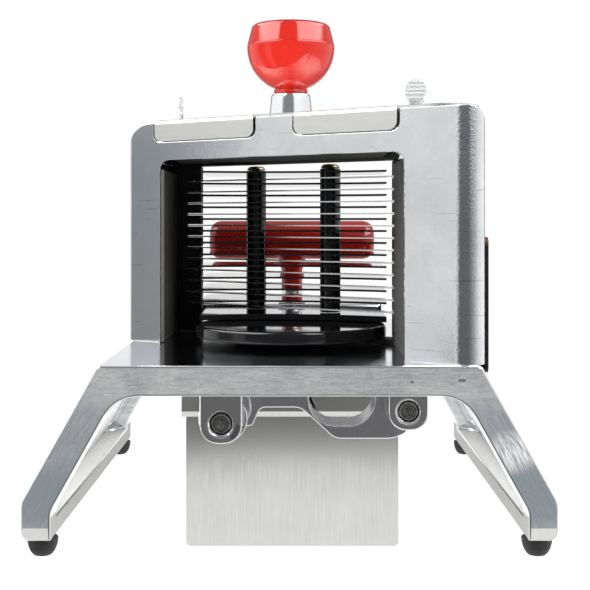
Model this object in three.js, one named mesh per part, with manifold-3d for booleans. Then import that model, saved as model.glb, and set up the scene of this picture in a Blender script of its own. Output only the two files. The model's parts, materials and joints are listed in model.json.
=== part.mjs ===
// A push slicer for fruit and vegetables, in millimetres, with Z up.
// The push direction is -Y: slices leave at the front, and the person stands behind at +Y.
// The origin lies on the front face of the table stop, in the middle, level with the table top.
import * as THREE from "three";
import { mergeVertices } from "three/addons/utils/BufferGeometryUtils.js";
import Module from "manifold-3d";

const wasm = await Module();
wasm.setup();

// Shared fits and curve fineness
const fit = 0.3;
const overrun = 5;
const weldTolerance = 1e-4;
const arcStep = Math.PI / 10;
const fineArcStep = Math.PI / 16;
const roundSides = 32;
const smallSides = 14;

// Base casting
const deckLength = 248;
const deckHeight = 85.4;
const deckThickness = 5.5;
const deckEdgeRadius = 2.5;
const rimHeight = 13.3;
const rimDepth = 13;
const legSpread = 33.4;
const legKneeHeight = 25.64;
const legThickness = 13.3;
const legCornerRadius = 17;
const footPadWidth = 12.9;
const footPadHeight = 8.6;
const footPadCornerRadius = 4;
const footPadBendRadius = 9;
const sideSkin = 4.5;
const railHeight = 8.6;
const pocketCornerRadius = 7;
const pocketEndRadius = 20;
const padLean = 1.4;
const padLeanHeight = 6;
const deckSlotWidth = 21;
const deckSlotGap = 3;

// Rubber feet
const footDiameter = 13.8;
const footFlatDiameter = 5;
const footSideInset = 7.4;
const footEndInset = 11;
const footStudDiameter = 5;
const footStudLength = 6;

// Guide rods and the lugs that hold them
const rodDiameter = 9.5;
const rodDrop = 28.6;
const rodLeft = -31.3;
const rodRight = 57.1;
const lugWall = 4.95;
const lugFloor = 4.45;
const lugCornerRadius = 8.5;
const lugThickness = 10;
const rearLugThickness = 12;
const leftLugSetback = 19.3;
const rightLugSetback = 53.3;
const rearLugSetback = 19;
const boreChamfer = 0.9;
const rodEndRecess = 0.7;
const rodTapDepth = 13;
const rodCentreDiameter = 3.6;
const rodCentreDepth = 5;
const rodEndChamfer = 0.8;

// Table stop, a bent sheet
const stopSheet = 2;
const stopWidth = 140;
const stopFlangeDrop = 13.9;
const stopShelfDrop = 61.2;
const stopShelfDepth = 31;
const stopDrop = 65.4;
const stopBendRadius = 4.4;
const stopCornerRadius = 3;
const stopNotchWidth = 26;
const stopNotchDrop = 29.4;

// Bolts that hold the table stop to the rods
const boltShankDiameter = 5.2;
const boltShankLength = 13;
const boltHeadAcross = 10;
const boltHeadThickness = 4;
const boltHoleRoom = 0.4;

// Blade housing
const skewAngle = THREE.MathUtils.degToRad(34.45);
const faceSetback = 53.3;
const housingRoof = 19.4;
const housingDepth = 95;
const housingWallLeft = 14.2;
const housingWallRight = 15.2;
const housingOverhang = 1.7;
const openingFlareLeft = 16.2;
const openingFlareRight = -0.2;
const openingCornerRadius = 5;
const housingTopRadiusLeft = 11;
const housingTopRadiusRight = 8;
const housingFrontRadius = 8.4;
const housingEdgeRadius = 2.5;
const openingLip = 3;
const liningThickness = 2;
const liningStep = 0.7;

// Blade cartridge
const bladeCount = 12;
const bladePitch = 6.35;
const bladeThickness = 0.6;
const bladeWidth = 13;
const bladeGrind = 2.4;
const bladeRise = 16.35;
const cartridgeShift = 0.6;
const bladeTail = 9;
const bladeInset = 20;
const cartridgeDepth = 14.5;
const combWidth = 19.5;
const cartridgeOpening = 104;
const cartridgeHeadroom = 8.8;
const cartridgeBarThickness = 2.7;

// Top cover, its tabs and its thumbscrews
const coverSheet = 1.5;
const coverFrontRadius = 16;
const coverRearInset = 3;
const coverRearRadius = 4;
const coverBendRadius = 2.2;
const tabDrop = 9.7;
const tabCornerRadius = 4;
const tabLeftInset = 14.1;
const tabLeftEnd = -18.4;
const tabRightStart = 1.4;
const tabRightInset = 38.1;
const tabGap = 1.2;
const tabGapStart = 0.4;
const tabGapBelow = 0.4;
const thumbscrewLeftInset = 26.1;
const thumbscrewRightInset = 27.5;
const thumbscrewSetback = 30;
const thumbscrewShank = 5;
const thumbscrewDepth = 11;
const thumbscrewCollarDiameter = 8;
const thumbscrewCollarHeight = 2;
const gripDiameter = 10.6;
const gripHeight = 8.9;
const gripThickness = 1.4;

// Red knob and its post
const knobSetback = 43;
const knobDiameter = 45.3;
const knobSeatShare = 0.459;
const knobCrownShare = 0.265;
const knobNeckDiameter = 18;
const knobNeckHeight = 2.8;
const knobSeamRise = 1.2;
const knobUpperFlat = 2.2;
const knobRimRadius = 2.6;
const postHeight = 13.3;
const postDiameterLow = 22.8;
const postDiameterHigh = 20.2;
const postShoulder = 1.4;
const studDiameter = 7;
const studLength = 12;

// Pusher
const finThickness = 1.1;
const finSideGap = 2.2;
const finSag = 10;
const finReachLeft = 10;
const finReachRight = 22;
const finLength = 47.7;
const finLengthRight = 16;
const finChamferWidth = 45;
const finCornerRadius = 5;
const finPlaceShare = 0.559;
const bottomFinThickness = 3.2;
const bottomFinGap = 3.35;
const columnDiameter = 11.5;
const columnSpacing = 41.8;
const columnSetback = 22;
const columnHead = 1.8;
const screwHeadDiameter = 10.4;
const screwHeadHeight = 2.5;
const screwShankDiameter = 4;
const screwShankLength = 14;
const discSideGap = 2;
const discThickness = 6.3;
const discReach = 23;
const discEdgeRadius = 1.6;
const discTailWidth = 62;
const floorGap = 3.2;

// Sliding carriage
const carriageTravelGap = 4.7;
const carriageWebThickness = 26;
const carriageBossWall = 4;
const carriageRightBossLength = 40;
const carriageWebDrop = 15.4;
const carriageArchDrop = 28.9;
const carriageArchStart = -15;
const carriageArchEnd = 5;
const carriageBellyDrop = 44.4;
const carriageBellyStart = 21.9;
const carriageBellyEnd = 54;
const carriageBellyRadius = 8;
const windowStart = 9;
const windowEnd = 42;
const windowBottomDrop = 37.9;
const windowTopDrop = 19.9;
const windowRadius = 13;
const windowTopRadius = 3;
const spineWidth = 18;
const armWidth = 15;
const spineBottomDrop = 25.4;
const spineTopDrop = 11.4;
const riserSetback = 17.7;
const crossbarGap = 1.3;
const crossbarWidth = 106;
const crossbarDepth = 10;
const crossbarRise = 6.3;
const crossbarThickness = 8.2;
const crossbarEdgeRadius = 2;
const crossbarCornerRadius = 3;
const bushingWall = 2.75;

// T-handle
const handleReach = 86.7;
const handleLength = 101.4;
const handleDiameter = 23.9;
const handleRise = 51.5;
const handleEndRadius = 7;
const handlePostDiameter = 12.8;
const handlePostFlare = 16.5;
const handleFlareHeight = 7;
const handleBossDiameter = 17;
const handleBossRise = 16.9;
const handleNeckDiameter = 12.4;
const handleNeckHeight = 4.5;
const handleBossHeight = 14.3;
const handleStudDiameter = 8;
const handleStudLength = 16;

// Side guard
const guardThickness = 1.5;
const guardDrop = 4.4;
const guardHeight = 60.6;
const guardFrontSetback = 10;
const guardLength = 196;
const guardRearRadius = 18;
const guardFrontRadius = 3;

// Widths worked out from the fruit passage between the combs
const passage = cartridgeOpening / 2;
const cartridgeReach = passage + combWidth;
const bladeReach = passage + bladeTail;
const openingReachLeft = passage + openingFlareLeft;
const openingReachRight = passage + openingFlareRight;
const housingReachLeft = cartridgeReach + housingWallLeft;
const housingReachRight = cartridgeReach + housingWallRight;
const half = housingReachLeft - housingOverhang;
const legReach = half + legSpread;
const finWidth = cartridgeOpening - 2 * finSideGap;
const discDiameter = cartridgeOpening - 2 * discSideGap;
const tabLeftStart = -housingReachLeft + tabLeftInset;
const tabRightEnd = housingReachRight - tabRightInset;
const thumbscrewLeft = -housingReachLeft + thumbscrewLeftInset;
const thumbscrewRight = housingReachRight - thumbscrewRightInset;

// Heights worked out from the table top and the stack of blades
const rodHeight = deckHeight - rodDrop;
const stopFlangeTop = deckHeight - stopFlangeDrop;
const stopShelfHeight = deckHeight - stopShelfDrop;
const stopNotchBottom = deckHeight - stopNotchDrop;
const bladeLowest = deckHeight + bladeRise;
const bladeStack = (bladeCount - 1) * bladePitch;
const openingTop = bladeLowest + bladeStack + cartridgeHeadroom;
const housingTop = openingTop + housingRoof;
const finLowest = bladeLowest + finPlaceShare * bladePitch;
const finTop = finLowest + bladeStack + finThickness / 2;
const bottomFinTop = bladeLowest - bottomFinGap;
const columnTop = finTop + columnHead;
const carriageWebTop = deckHeight - carriageWebDrop;
const carriageArchHeight = deckHeight - carriageArchDrop;
const carriageBellyHeight = deckHeight - carriageBellyDrop;
const windowBottom = deckHeight - windowBottomDrop;
const windowTop = deckHeight - windowTopDrop;
const spineBottom = deckHeight - spineBottomDrop;
const spineTop = deckHeight - spineTopDrop;
const crossbarBottom = deckHeight + crossbarRise;
const crossbarTop = crossbarBottom + crossbarThickness;
const handleHeight = deckHeight + handleRise;
const handleBossTop = deckHeight + handleBossRise;
const handleNeckTop = handleBossTop + handleNeckHeight;
const handleBossBottom = handleBossTop - handleBossHeight;
const guardBottom = deckHeight - guardDrop;

// Places along the push direction, and what follows from them
const deckFront = -deckLength / 2;
const deckRear = deckLength / 2;
const slope = (legReach - half) / (deckHeight - legKneeHeight);
const splayAngle = Math.atan(slope);
const skew = Math.tan(skewAngle);
const faceMiddle = deckFront + faceSetback;
const footSpacingWide = 2 * (legReach - footSideInset);
const footSpacingLong = deckLength - 2 * footEndInset;
const openingLeft = -openingReachLeft;
const openingRight = openingReachRight;
const roofTop = openingTop + liningStep + liningThickness + fit;
const wallRight = openingRight + liningStep + liningThickness + fit;
const bladeSetback = housingDepth - bladeInset;
const cartridgeFront = bladeSetback - cartridgeDepth / 2;
const cartridgeRear = bladeSetback + cartridgeDepth / 2;
const cartridgeFloor = deckHeight + fit;
const combBottom = cartridgeFloor + cartridgeBarThickness + fit;
const topBarBottom = openingTop - fit;
const coverTop = housingTop + coverSheet;
const knobBottom = coverTop + postHeight;
const knobCentre = knobNeckHeight + knobSeatShare * knobDiameter;
const knobHeight = knobCentre + knobCrownShare * knobDiameter;
const bladeMiddle = faceMiddle + bladeSetback;
const columnMiddle = bladeMiddle + columnSetback;
const finTipLeft = bladeMiddle - finReachLeft;
const finTipRight = bladeMiddle - finReachRight;
const finRear = bladeMiddle + finLength;
const finRearRight = bladeMiddle + finLengthRight;
const riserFront = bladeMiddle + riserSetback;
const handleSetback = bladeMiddle + handleReach;
const discMiddle = bladeMiddle - discReach;
const discBottom = deckHeight + floorGap;
const discTop = discBottom + discThickness;
const lugWidth = rodDiameter + 2 * lugWall;
const lugDrop = rodDiameter / 2 + lugFloor;
const rodTapDiameter = boltShankDiameter + 2 * fit;
const boltHoleDiameter = boltShankDiameter + 2 * boltHoleRoom;
const leftLugFront = deckFront + leftLugSetback;
const rightLugFront = deckFront + rightLugSetback;
const rearLugRear = deckRear - rearLugSetback;
const stopFlangeFront = rearLugRear + fit;
const stopFace = stopFlangeFront + stopShelfDepth;
const bushingBore = rodDiameter / 2 + fit;
const bushingDiameter = rodDiameter + 2 * bushingWall;
const carriageBossDiameter = bushingDiameter + 2 * carriageBossWall;
const leftBossFront = leftLugFront + lugThickness + carriageTravelGap;
const rightBossFront = rightLugFront + lugThickness + carriageTravelGap;
const webFront = rightBossFront;
const webRear = webFront + carriageWebThickness;
const carriageLeftBossLength = webRear - leftBossFront;
const crossbarFront = finRear + crossbarGap;
const crossbarRear = crossbarFront + crossbarDepth;

// Finishes
const finishes = {
  castAluminium: { color: 0xb4b8ba, roughness: 0.38, metalness: 0.9 },
  polishedAluminium: { color: 0xd2d5d8, roughness: 0.18, metalness: 0.95 },
  steel: { color: 0xc9cbcc, roughness: 0.25, metalness: 0.95 },
  brushedSheet: { color: 0xc8c6c0, roughness: 0.4, metalness: 0.9 },
  blackPlastic: { color: 0x18181a, roughness: 0.3, metalness: 0 },
  redPlastic: { color: 0xc2160f, roughness: 0.22, metalness: 0 },
  bronze: { color: 0x7d7352, roughness: 0.4, metalness: 0.8 },
  rubber: { color: 0x1d1d1d, roughness: 0.8, metalness: 0 },
};

// Turns a closed geometry into a solid that can be joined and cut.
function solidOf(geometry) {
  const bare = geometry.clone();
  bare.deleteAttribute("normal");
  bare.deleteAttribute("uv");
  const merged = mergeVertices(bare, weldTolerance);
  const kept = [];
  const corners = merged.index.array;
  for (let i = 0; i < corners.length; i += 3) {
    const [a, b, c] = [corners[i], corners[i + 1], corners[i + 2]];
    if (a !== b && b !== c && c !== a) kept.push(a, b, c);
  }
  const mesh = new wasm.Mesh({
    numProp: 3,
    vertProperties: merged.attributes.position.array,
    triVerts: new Uint32Array(kept),
  });
  return new wasm.Manifold(mesh);
}

// Turns a solid back into a geometry for a mesh.
function geometryOf(solid) {
  const mesh = solid.getMesh();
  const geometry = new THREE.BufferGeometry();
  geometry.setAttribute("position", new THREE.BufferAttribute(mesh.vertProperties, mesh.numProp));
  geometry.setIndex(new THREE.BufferAttribute(mesh.triVerts, 1));
  const flat = geometry.toNonIndexed();
  flat.computeVertexNormals();
  return flat;
}

function joined(...solids) {
  return solids.reduce((sum, next) => sum.add(next));
}

function cut(body, ...tools) {
  return tools.reduce((left, tool) => left.subtract(tool), body);
}

function named(name, solid, finish) {
  const mesh = new THREE.Mesh(geometryOf(solid), new THREE.MeshStandardMaterial(finishes[finish]));
  mesh.name = name;
  return mesh;
}

// An outline whose corners are [x, y, radius], with each rounded corner drawn as an arc.
function rounded(corners, step = arcStep) {
  const points = [];
  corners.forEach(([x, y, radius], i) => {
    const at = new THREE.Vector2(x, y);
    if (!radius) {
      points.push(at);
      return;
    }
    const before = corners[(i + corners.length - 1) % corners.length];
    const after = corners[(i + 1) % corners.length];
    const back = new THREE.Vector2(before[0] - x, before[1] - y).normalize();
    const ahead = new THREE.Vector2(after[0] - x, after[1] - y).normalize();
    const halfAngle = Math.acos(back.dot(ahead)) / 2;
    const reach = radius / Math.tan(halfAngle);
    const inward = back.clone().add(ahead).normalize();
    const centre = at.clone().addScaledVector(inward, radius / Math.sin(halfAngle));
    const start = at.clone().addScaledVector(back, reach).sub(centre).angle();
    const end = at.clone().addScaledVector(ahead, reach).sub(centre).angle();
    const turn = Math.atan2(Math.sin(end - start), Math.cos(end - start));
    const steps = Math.max(2, Math.ceil(Math.abs(turn) / step));
    for (let k = 0; k <= steps; k += 1) {
      const angle = start + (turn * k) / steps;
      const spoke = new THREE.Vector2(Math.cos(angle), Math.sin(angle));
      points.push(centre.clone().addScaledVector(spoke, radius));
    }
  });
  return points;
}

function rectangle(x0, x1, y0, y1, radius = 0) {
  return rounded([
    [x0, y0, radius],
    [x1, y0, radius],
    [x1, y1, radius],
    [x0, y1, radius],
  ]);
}

function extruded(outline, depth, holes) {
  const shape = new THREE.Shape(outline);
  shape.holes = holes.map((hole) => new THREE.Path(hole));
  return new THREE.ExtrudeGeometry(shape, { depth, bevelEnabled: false });
}

// A plan outline in X and Y, raised from one height to another.
function alongZ(outline, z0, z1, holes = []) {
  const geometry = extruded(outline, z1 - z0, holes);
  geometry.translate(0, 0, z0);
  return solidOf(geometry);
}

// A front outline in X and Z, drawn back from one Y to another.
function alongY(outline, y0, y1, holes = []) {
  const geometry = extruded(outline, y1 - y0, holes);
  geometry.rotateX(Math.PI / 2);
  geometry.translate(0, y1, 0);
  return solidOf(geometry);
}

// A side outline in Y and Z, drawn from one X to another.
function alongX(outline, x0, x1, holes = []) {
  const geometry = extruded(outline, x1 - x0, holes);
  const turn = new THREE.Matrix4().makeBasis(
    new THREE.Vector3(0, 1, 0),
    new THREE.Vector3(0, 0, 1),
    new THREE.Vector3(1, 0, 0),
  );
  geometry.applyMatrix4(turn);
  geometry.translate(x0, 0, 0);
  return solidOf(geometry);
}

function block(x0, x1, y0, y1, z0, z1) {
  return alongZ(rectangle(x0, x1, y0, y1), z0, z1);
}

// Leans a solid so that its Y, given from the housing's front face, follows that slanting face.
function leaned(solid) {
  return solid.transform([1, -skew, 0, 0, 0, 1, 0, 0, 0, 0, 1, 0, 0, faceMiddle, 0, 1]);
}

function turned(profile, sides = roundSides) {
  const geometry = new THREE.LatheGeometry(
    profile.map(([radius, height]) => new THREE.Vector2(radius, height)),
    sides,
  );
  geometry.rotateX(Math.PI / 2);
  return solidOf(geometry);
}

function pillar(radius, z0, z1, sides = roundSides) {
  return turned([[0, z0], [radius, z0], [radius, z1], [0, z1]], sides);
}

// A round bar along Y at the given X and Z.
function rod(radius, x, z, y0, y1, sides = roundSides) {
  return pillar(radius, -y1, -y0, sides).rotate([90, 0, 0]).translate([x, 0, z]);
}

function standing(solid, x, y) {
  return solid.translate([x, y, 0]);
}

// The Y of the slanting front face at a given X, and of lines behind it.
function slantY(x, setback) {
  return faceMiddle + setback - skew * x;
}

// The front outline of the base: deck edge above, splayed legs, upright pads at their ends.
function portalOutline() {
  const legAcross = legThickness / Math.cos(splayAngle);
  const padInner = legReach - footPadWidth;
  const padTopOuter = deckHeight - (legReach - half) / slope;
  const padTopInner = deckHeight - (padInner + legAcross - half) / slope;
  const rimBottom = deckHeight - rimHeight;
  const cornerInner = half + rimHeight * slope - legAcross;
  const side = [
    [padInner, footPadHeight, footPadCornerRadius / 4],
    [legReach, footPadHeight, footPadCornerRadius],
    [legReach, padTopOuter, footPadBendRadius],
    [half, deckHeight, deckEdgeRadius],
  ];
  const inner = [
    [cornerInner, rimBottom, legCornerRadius],
    [padInner, padTopInner, footPadBendRadius],
  ];
  const right = [...inner, ...side];
  const left = right.map(([x, z, radius]) => [-x, z, radius]).reverse();
  return rounded([...right, ...left]);
}

// The hollow under the deck and behind the sloping side skins, open below.
function hollowOutline() {
  const skinAcross = sideSkin / Math.cos(splayAngle);
  const bottom = footPadHeight + railHeight;
  const top = deckHeight - deckThickness;
  const low = half + (deckHeight - bottom) * slope - skinAcross;
  const high = half + (deckHeight - top) * slope - skinAcross;
  return rounded([
    [-low, bottom, 0],
    [low, bottom, 0],
    [high, top, pocketCornerRadius],
    [-high, top, pocketCornerRadius],
  ]);
}

// The hollow's ends are round where they meet the side skins, so its plan is a rounded box at every height.
function hollowSolid() {
  const bottom = footPadHeight + railHeight;
  const reach = half + (deckHeight - bottom) * slope - sideSkin / Math.cos(splayAngle);
  const end = deckLength / 2 - rimDepth - pocketEndRadius;
  const corners = [];
  for (const side of [-1, 1]) {
    for (const y of [-end, end]) {
      const upright = pillar(pocketEndRadius, 0, deckHeight - bottom);
      const leaning = upright.transform([1, 0, 0, 0, 0, 1, 0, 0, -side * slope, 0, 1, 0, 0, 0, 0, 1]);
      corners.push(leaning.translate([side * (reach - pocketEndRadius), y, bottom]));
    }
  }
  const inside = wasm.Manifold.hull(corners);
  return inside.intersect(alongY(hollowOutline(), deckFront, deckRear));
}

// The wedge that leans the face of a leg's end inwards.
function padWedge(side) {
  const face = (side * deckLength) / 2;
  const section = [
    new THREE.Vector2(face + side * overrun, footPadHeight - overrun),
    new THREE.Vector2(face - side * padLean, footPadHeight - overrun),
    new THREE.Vector2(face - side * padLean, footPadHeight),
    new THREE.Vector2(face, footPadHeight + padLeanHeight),
    new THREE.Vector2(face + side * overrun, footPadHeight + padLeanHeight),
  ];
  const outline = side > 0 ? section.reverse() : section;
  return alongX(outline, -legReach - overrun, legReach + overrun);
}

function lug(x, y0, y1) {
  const top = deckHeight - deckThickness / 2;
  const bottom = rodHeight - lugDrop;
  const outline = rounded([
    [x - lugWidth / 2, bottom, lugCornerRadius],
    [x + lugWidth / 2, bottom, lugCornerRadius],
    [x + lugWidth / 2, top, 0],
    [x - lugWidth / 2, top, 0],
  ]);
  return alongY(outline, y0, y1);
}

// A bore along Y with a chamfered mouth at its front end.
function lugBore(x, y0, y1) {
  const radius = rodDiameter / 2 + fit;
  const bore = rod(radius, x, rodHeight, y0 - overrun, y1 + overrun);
  const mouthProfile = [
    [0, -boreChamfer],
    [radius, -boreChamfer],
    [radius + 2 * boreChamfer, boreChamfer],
    [0, boreChamfer],
  ];
  const mouth = turned(mouthProfile).rotate([90, 0, 0]).translate([x, y0, rodHeight]);
  return joined(bore, mouth);
}

function footPlaces() {
  const places = [];
  for (const [sideName, x] of [["left", -footSpacingWide / 2], ["right", footSpacingWide / 2]]) {
    for (const [endName, y] of [["front", -footSpacingLong / 2], ["rear", footSpacingLong / 2]]) {
      places.push({ name: `foot_${endName}_${sideName}`, x, y });
    }
  }
  return places;
}

function baseCasting() {
  const shell = alongY(portalOutline(), deckFront, deckRear);
  const hollow = hollowSolid();
  const below = alongY(
    rectangle(-legReach + footPadWidth, legReach - footPadWidth, 0, footPadHeight + railHeight + fit),
    deckFront + rimDepth,
    deckRear - rimDepth,
  );
  const slotHalf = deckSlotWidth / 2;
  const slot = block(
    -slotHalf,
    slotHalf,
    riserFront - deckSlotGap,
    deckRear + overrun,
    deckHeight - rimHeight - overrun,
    deckHeight + overrun,
  );
  const frame = cut(shell, hollow, below, slot, padWedge(-1), padWedge(1));
  const lugs = [
    [rodLeft, leftLugFront, leftLugFront + lugThickness],
    [rodRight, rightLugFront, rightLugFront + lugThickness],
    [rodLeft, rearLugRear - rearLugThickness, rearLugRear],
    [rodRight, rearLugRear - rearLugThickness, rearLugRear],
  ];
  const withLugs = joined(frame, ...lugs.map((place) => lug(...place)));
  const bores = lugs.map((place) => lugBore(...place));
  const studRadius = footStudDiameter / 2 + fit;
  const studTop = footPadHeight + footStudLength + fit;
  const studHoles = footPlaces().map(({ x, y }) =>
    standing(pillar(studRadius, footPadHeight - overrun, studTop, smallSides), x, y),
  );
  return named("base_casting", cut(withLugs, ...bores, ...studHoles), "castAluminium");
}

function foot(name) {
  const radius = footDiameter / 2;
  const flat = footFlatDiameter / 2;
  const top = footPadHeight - fit;
  const profile = [[0, 0], [flat, 0]];
  const steps = 5;
  for (let k = 1; k <= steps; k += 1) {
    const angle = (Math.PI / 2) * (k / steps);
    profile.push([flat + (radius - flat) * Math.sin(angle), top * (1 - Math.cos(angle))]);
  }
  const stud = footStudDiameter / 2;
  profile.push([stud, top], [stud, top + footStudLength], [0, top + footStudLength]);
  return named(name, turned(profile, smallSides), "rubber");
}

function guideRod(name, x, lugFront) {
  const rear = rearLugRear - rodEndRecess;
  const front = lugFront + rodEndRecess;
  const radius = rodDiameter / 2;
  const bar = turned([
    [0, -rear],
    [radius, -rear],
    [radius, -front - rodEndChamfer],
    [radius - rodEndChamfer, -front],
    [0, -front],
  ]).rotate([90, 0, 0]).translate([x, 0, rodHeight]);
  const centreRadius = rodCentreDiameter / 2;
  const centre = rod(centreRadius, x, rodHeight, front - overrun, front + rodCentreDepth, smallSides);
  const tap = rod(rodTapDiameter / 2, x, rodHeight, rear - rodTapDepth, rear + overrun, smallSides);
  return named(name, cut(bar, tap, centre), "steel");
}

// The table stop: a flange on the rear lugs, a shelf going back, and the hanging plate.
function tableStop() {
  const inside = stopBendRadius - stopSheet;
  const section = rounded([
    [stopFlangeFront, stopShelfHeight, stopBendRadius],
    [stopFace, stopShelfHeight, inside],
    [stopFace, -stopDrop, 0],
    [stopFace + stopSheet, -stopDrop, 0],
    [stopFace + stopSheet, stopShelfHeight + stopSheet, stopBendRadius],
    [stopFlangeFront + stopSheet, stopShelfHeight + stopSheet, inside],
    [stopFlangeFront + stopSheet, stopFlangeTop, 0],
    [stopFlangeFront, stopFlangeTop, 0],
  ]);
  const sheet = alongX(section, -stopWidth / 2, stopWidth / 2);
  const frontView = rectangle(
    -stopWidth / 2,
    stopWidth / 2,
    -stopDrop,
    stopFlangeTop,
    stopCornerRadius,
  );
  const trimmed = sheet.intersect(alongY(frontView, stopFlangeFront - overrun, stopFace + overrun));
  const notchHalf = stopNotchWidth / 2;
  const notch = alongY(
    rounded([
      [-notchHalf, stopNotchBottom, stopCornerRadius],
      [notchHalf, stopNotchBottom, stopCornerRadius],
      [notchHalf, stopFlangeTop + overrun, 0],
      [-notchHalf, stopFlangeTop + overrun, 0],
    ]),
    stopFlangeFront - overrun,
    stopFlangeFront + overrun,
  );
  const holes = [rodLeft, rodRight].map((x) =>
    rod(boltHoleDiameter / 2, x, rodHeight, stopFlangeFront - overrun, stopFlangeFront + overrun, smallSides),
  );
  return named("table_stop", cut(trimmed, notch, ...holes), "brushedSheet");
}

// A hex bolt that clamps the table stop against the rear lug and screws into the rod.
function stopBolt(name, x) {
  const seat = stopFlangeFront + stopSheet + fit;
  const shank = rod(boltShankDiameter / 2, x, rodHeight, seat - boltShankLength, seat + fit, smallSides);
  const headRadius = boltHeadAcross / 2 / Math.cos(Math.PI / 6);
  const head = rod(headRadius, x, rodHeight, seat, seat + boltHeadThickness, 6);
  return named(name, joined(shank, head), "steel");
}

// The housing seen from the front, without its opening.
function housingFrontOutline() {
  return rounded([
    [-housingReachLeft, deckHeight, 0],
    [housingReachRight, deckHeight, 0],
    [housingReachRight, housingTop, housingTopRadiusRight],
    [-housingReachLeft, housingTop, housingTopRadiusLeft],
  ]);
}

function housingPlanOutline() {
  return rounded(
    [
      [-housingReachLeft, slantY(-housingReachLeft, 0), housingEdgeRadius],
      [housingReachRight, slantY(housingReachRight, 0), housingFrontRadius],
      [housingReachRight, slantY(housingReachRight, housingDepth), housingEdgeRadius],
      [-housingReachLeft, slantY(-housingReachLeft, housingDepth), housingEdgeRadius],
    ],
    fineArcStep,
  );
}

function tunnelOutline(left, right, top) {
  return rounded([
    [left, deckHeight - overrun, 0],
    [right, deckHeight - overrun, 0],
    [right, top, openingCornerRadius],
    [left, top, openingCornerRadius],
  ]);
}

// Recesses in the front edge of the housing's top, where the cover's tabs sit.
function tabRecess(x0, x1) {
  const outline = rounded([
    [x0 - tabGapStart, housingTop - tabDrop - tabGapBelow, tabCornerRadius],
    [x1 + tabGap, housingTop - tabDrop - tabGapBelow, tabCornerRadius],
    [x1 + tabGap, housingTop + overrun, 0],
    [x0 - tabGapStart, housingTop + overrun, 0],
  ]);
  return leaned(alongY(outline, -overrun, coverBendRadius + 2 * fit));
}

function thumbscrewPlaces() {
  return [
    { name: "thumbscrew_left", x: thumbscrewLeft },
    { name: "thumbscrew_right", x: thumbscrewRight },
  ].map((place) => ({ ...place, y: slantY(place.x, thumbscrewSetback) }));
}

function bladeHousing() {
  const frontMost = slantY(housingReachRight, 0);
  const rearMost = slantY(-housingReachLeft, housingDepth);
  const outside = alongY(housingFrontOutline(), frontMost, rearMost);
  const plan = alongZ(housingPlanOutline(), deckHeight, housingTop);
  const body = outside.intersect(plan);
  const tunnel = alongY(
    tunnelOutline(openingLeft, openingRight, openingTop),
    frontMost - overrun,
    rearMost + overrun,
  );
  const wide = leaned(
    alongY(tunnelOutline(openingLeft, wallRight, roofTop), openingLip, housingDepth + overrun),
  );
  const slotReach = cartridgeReach + fit;
  const cartridgeSlot = leaned(
    block(
      cartridgeShift - slotReach,
      cartridgeShift + slotReach,
      cartridgeFront - fit,
      cartridgeRear + fit,
      deckHeight - overrun,
      housingTop + overrun,
    ),
  );
  const recesses = [
    tabRecess(tabLeftStart, tabLeftEnd),
    tabRecess(tabRightStart, tabRightEnd),
  ];
  const threads = thumbscrewPlaces().map(({ x, y }) => {
    const hole = pillar(
      thumbscrewShank / 2 + fit,
      housingTop - thumbscrewDepth - fit,
      housingTop + overrun,
      smallSides,
    );
    return standing(hole, x, y);
  });
  const solid = cut(body, tunnel, wide, cartridgeSlot, ...recesses, ...threads);
  return named("blade_housing", solid, "castAluminium");
}

function linings() {
  const rear = cartridgeFront - 2 * fit;
  const bottom = deckHeight + fit;
  const left = block(
    openingLeft + fit,
    openingLeft + fit + liningThickness,
    fit,
    rear,
    bottom,
    openingTop - openingCornerRadius,
  );
  const right = block(
    openingRight + liningStep,
    openingRight + liningStep + liningThickness,
    openingLip + fit,
    rear,
    bottom,
    openingTop - openingCornerRadius / 2,
  );
  const top = block(
    openingLeft + openingCornerRadius,
    openingRight - openingCornerRadius,
    openingLip + fit,
    rear,
    openingTop + liningStep,
    openingTop + liningStep + liningThickness,
  );
  return [
    named("lining_left", leaned(left), "blackPlastic"),
    named("lining_right", leaned(right), "blackPlastic"),
    named("lining_top", leaned(top), "blackPlastic"),
  ];
}

function bladeHeight(i) {
  return bladeLowest + i * bladePitch;
}

// Leans a piece of the cartridge, which sits a little to the right of the middle.
function shifted(solid) {
  return leaned(solid.translate([cartridgeShift, 0, 0]));
}

// A side block of the cartridge, slotted like a comb from its inner face to take the blade ends.
function comb(name, side) {
  const inner = cartridgeOpening / 2;
  const across = [side * inner, side * cartridgeReach].sort((a, b) => a - b);
  const body = block(...across, cartridgeFront, cartridgeRear, combBottom, topBarBottom - fit);
  const slotEnds = [side * (inner - overrun), side * (bladeReach + fit)].sort((a, b) => a - b);
  const slots = [];
  for (let i = 0; i < bladeCount; i += 1) {
    const middle = bladeHeight(i);
    const room = bladeThickness / 2 + fit;
    const slot = block(
      ...slotEnds,
      cartridgeFront - overrun,
      cartridgeRear + overrun,
      middle - room,
      middle + room,
    );
    slots.push(slot);
  }
  return named(name, shifted(cut(body, ...slots)), "blackPlastic");
}

function cartridgeBars() {
  const low = block(
    -cartridgeReach,
    cartridgeReach,
    cartridgeFront,
    cartridgeRear,
    cartridgeFloor,
    cartridgeFloor + cartridgeBarThickness,
  );
  const high = block(
    -cartridgeReach,
    cartridgeReach,
    cartridgeFront,
    cartridgeRear,
    topBarBottom,
    housingTop - fit,
  );
  return [
    named("cartridge_bar_bottom", shifted(low), "blackPlastic"),
    named("cartridge_bar_top", shifted(high), "blackPlastic"),
  ];
}

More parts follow.
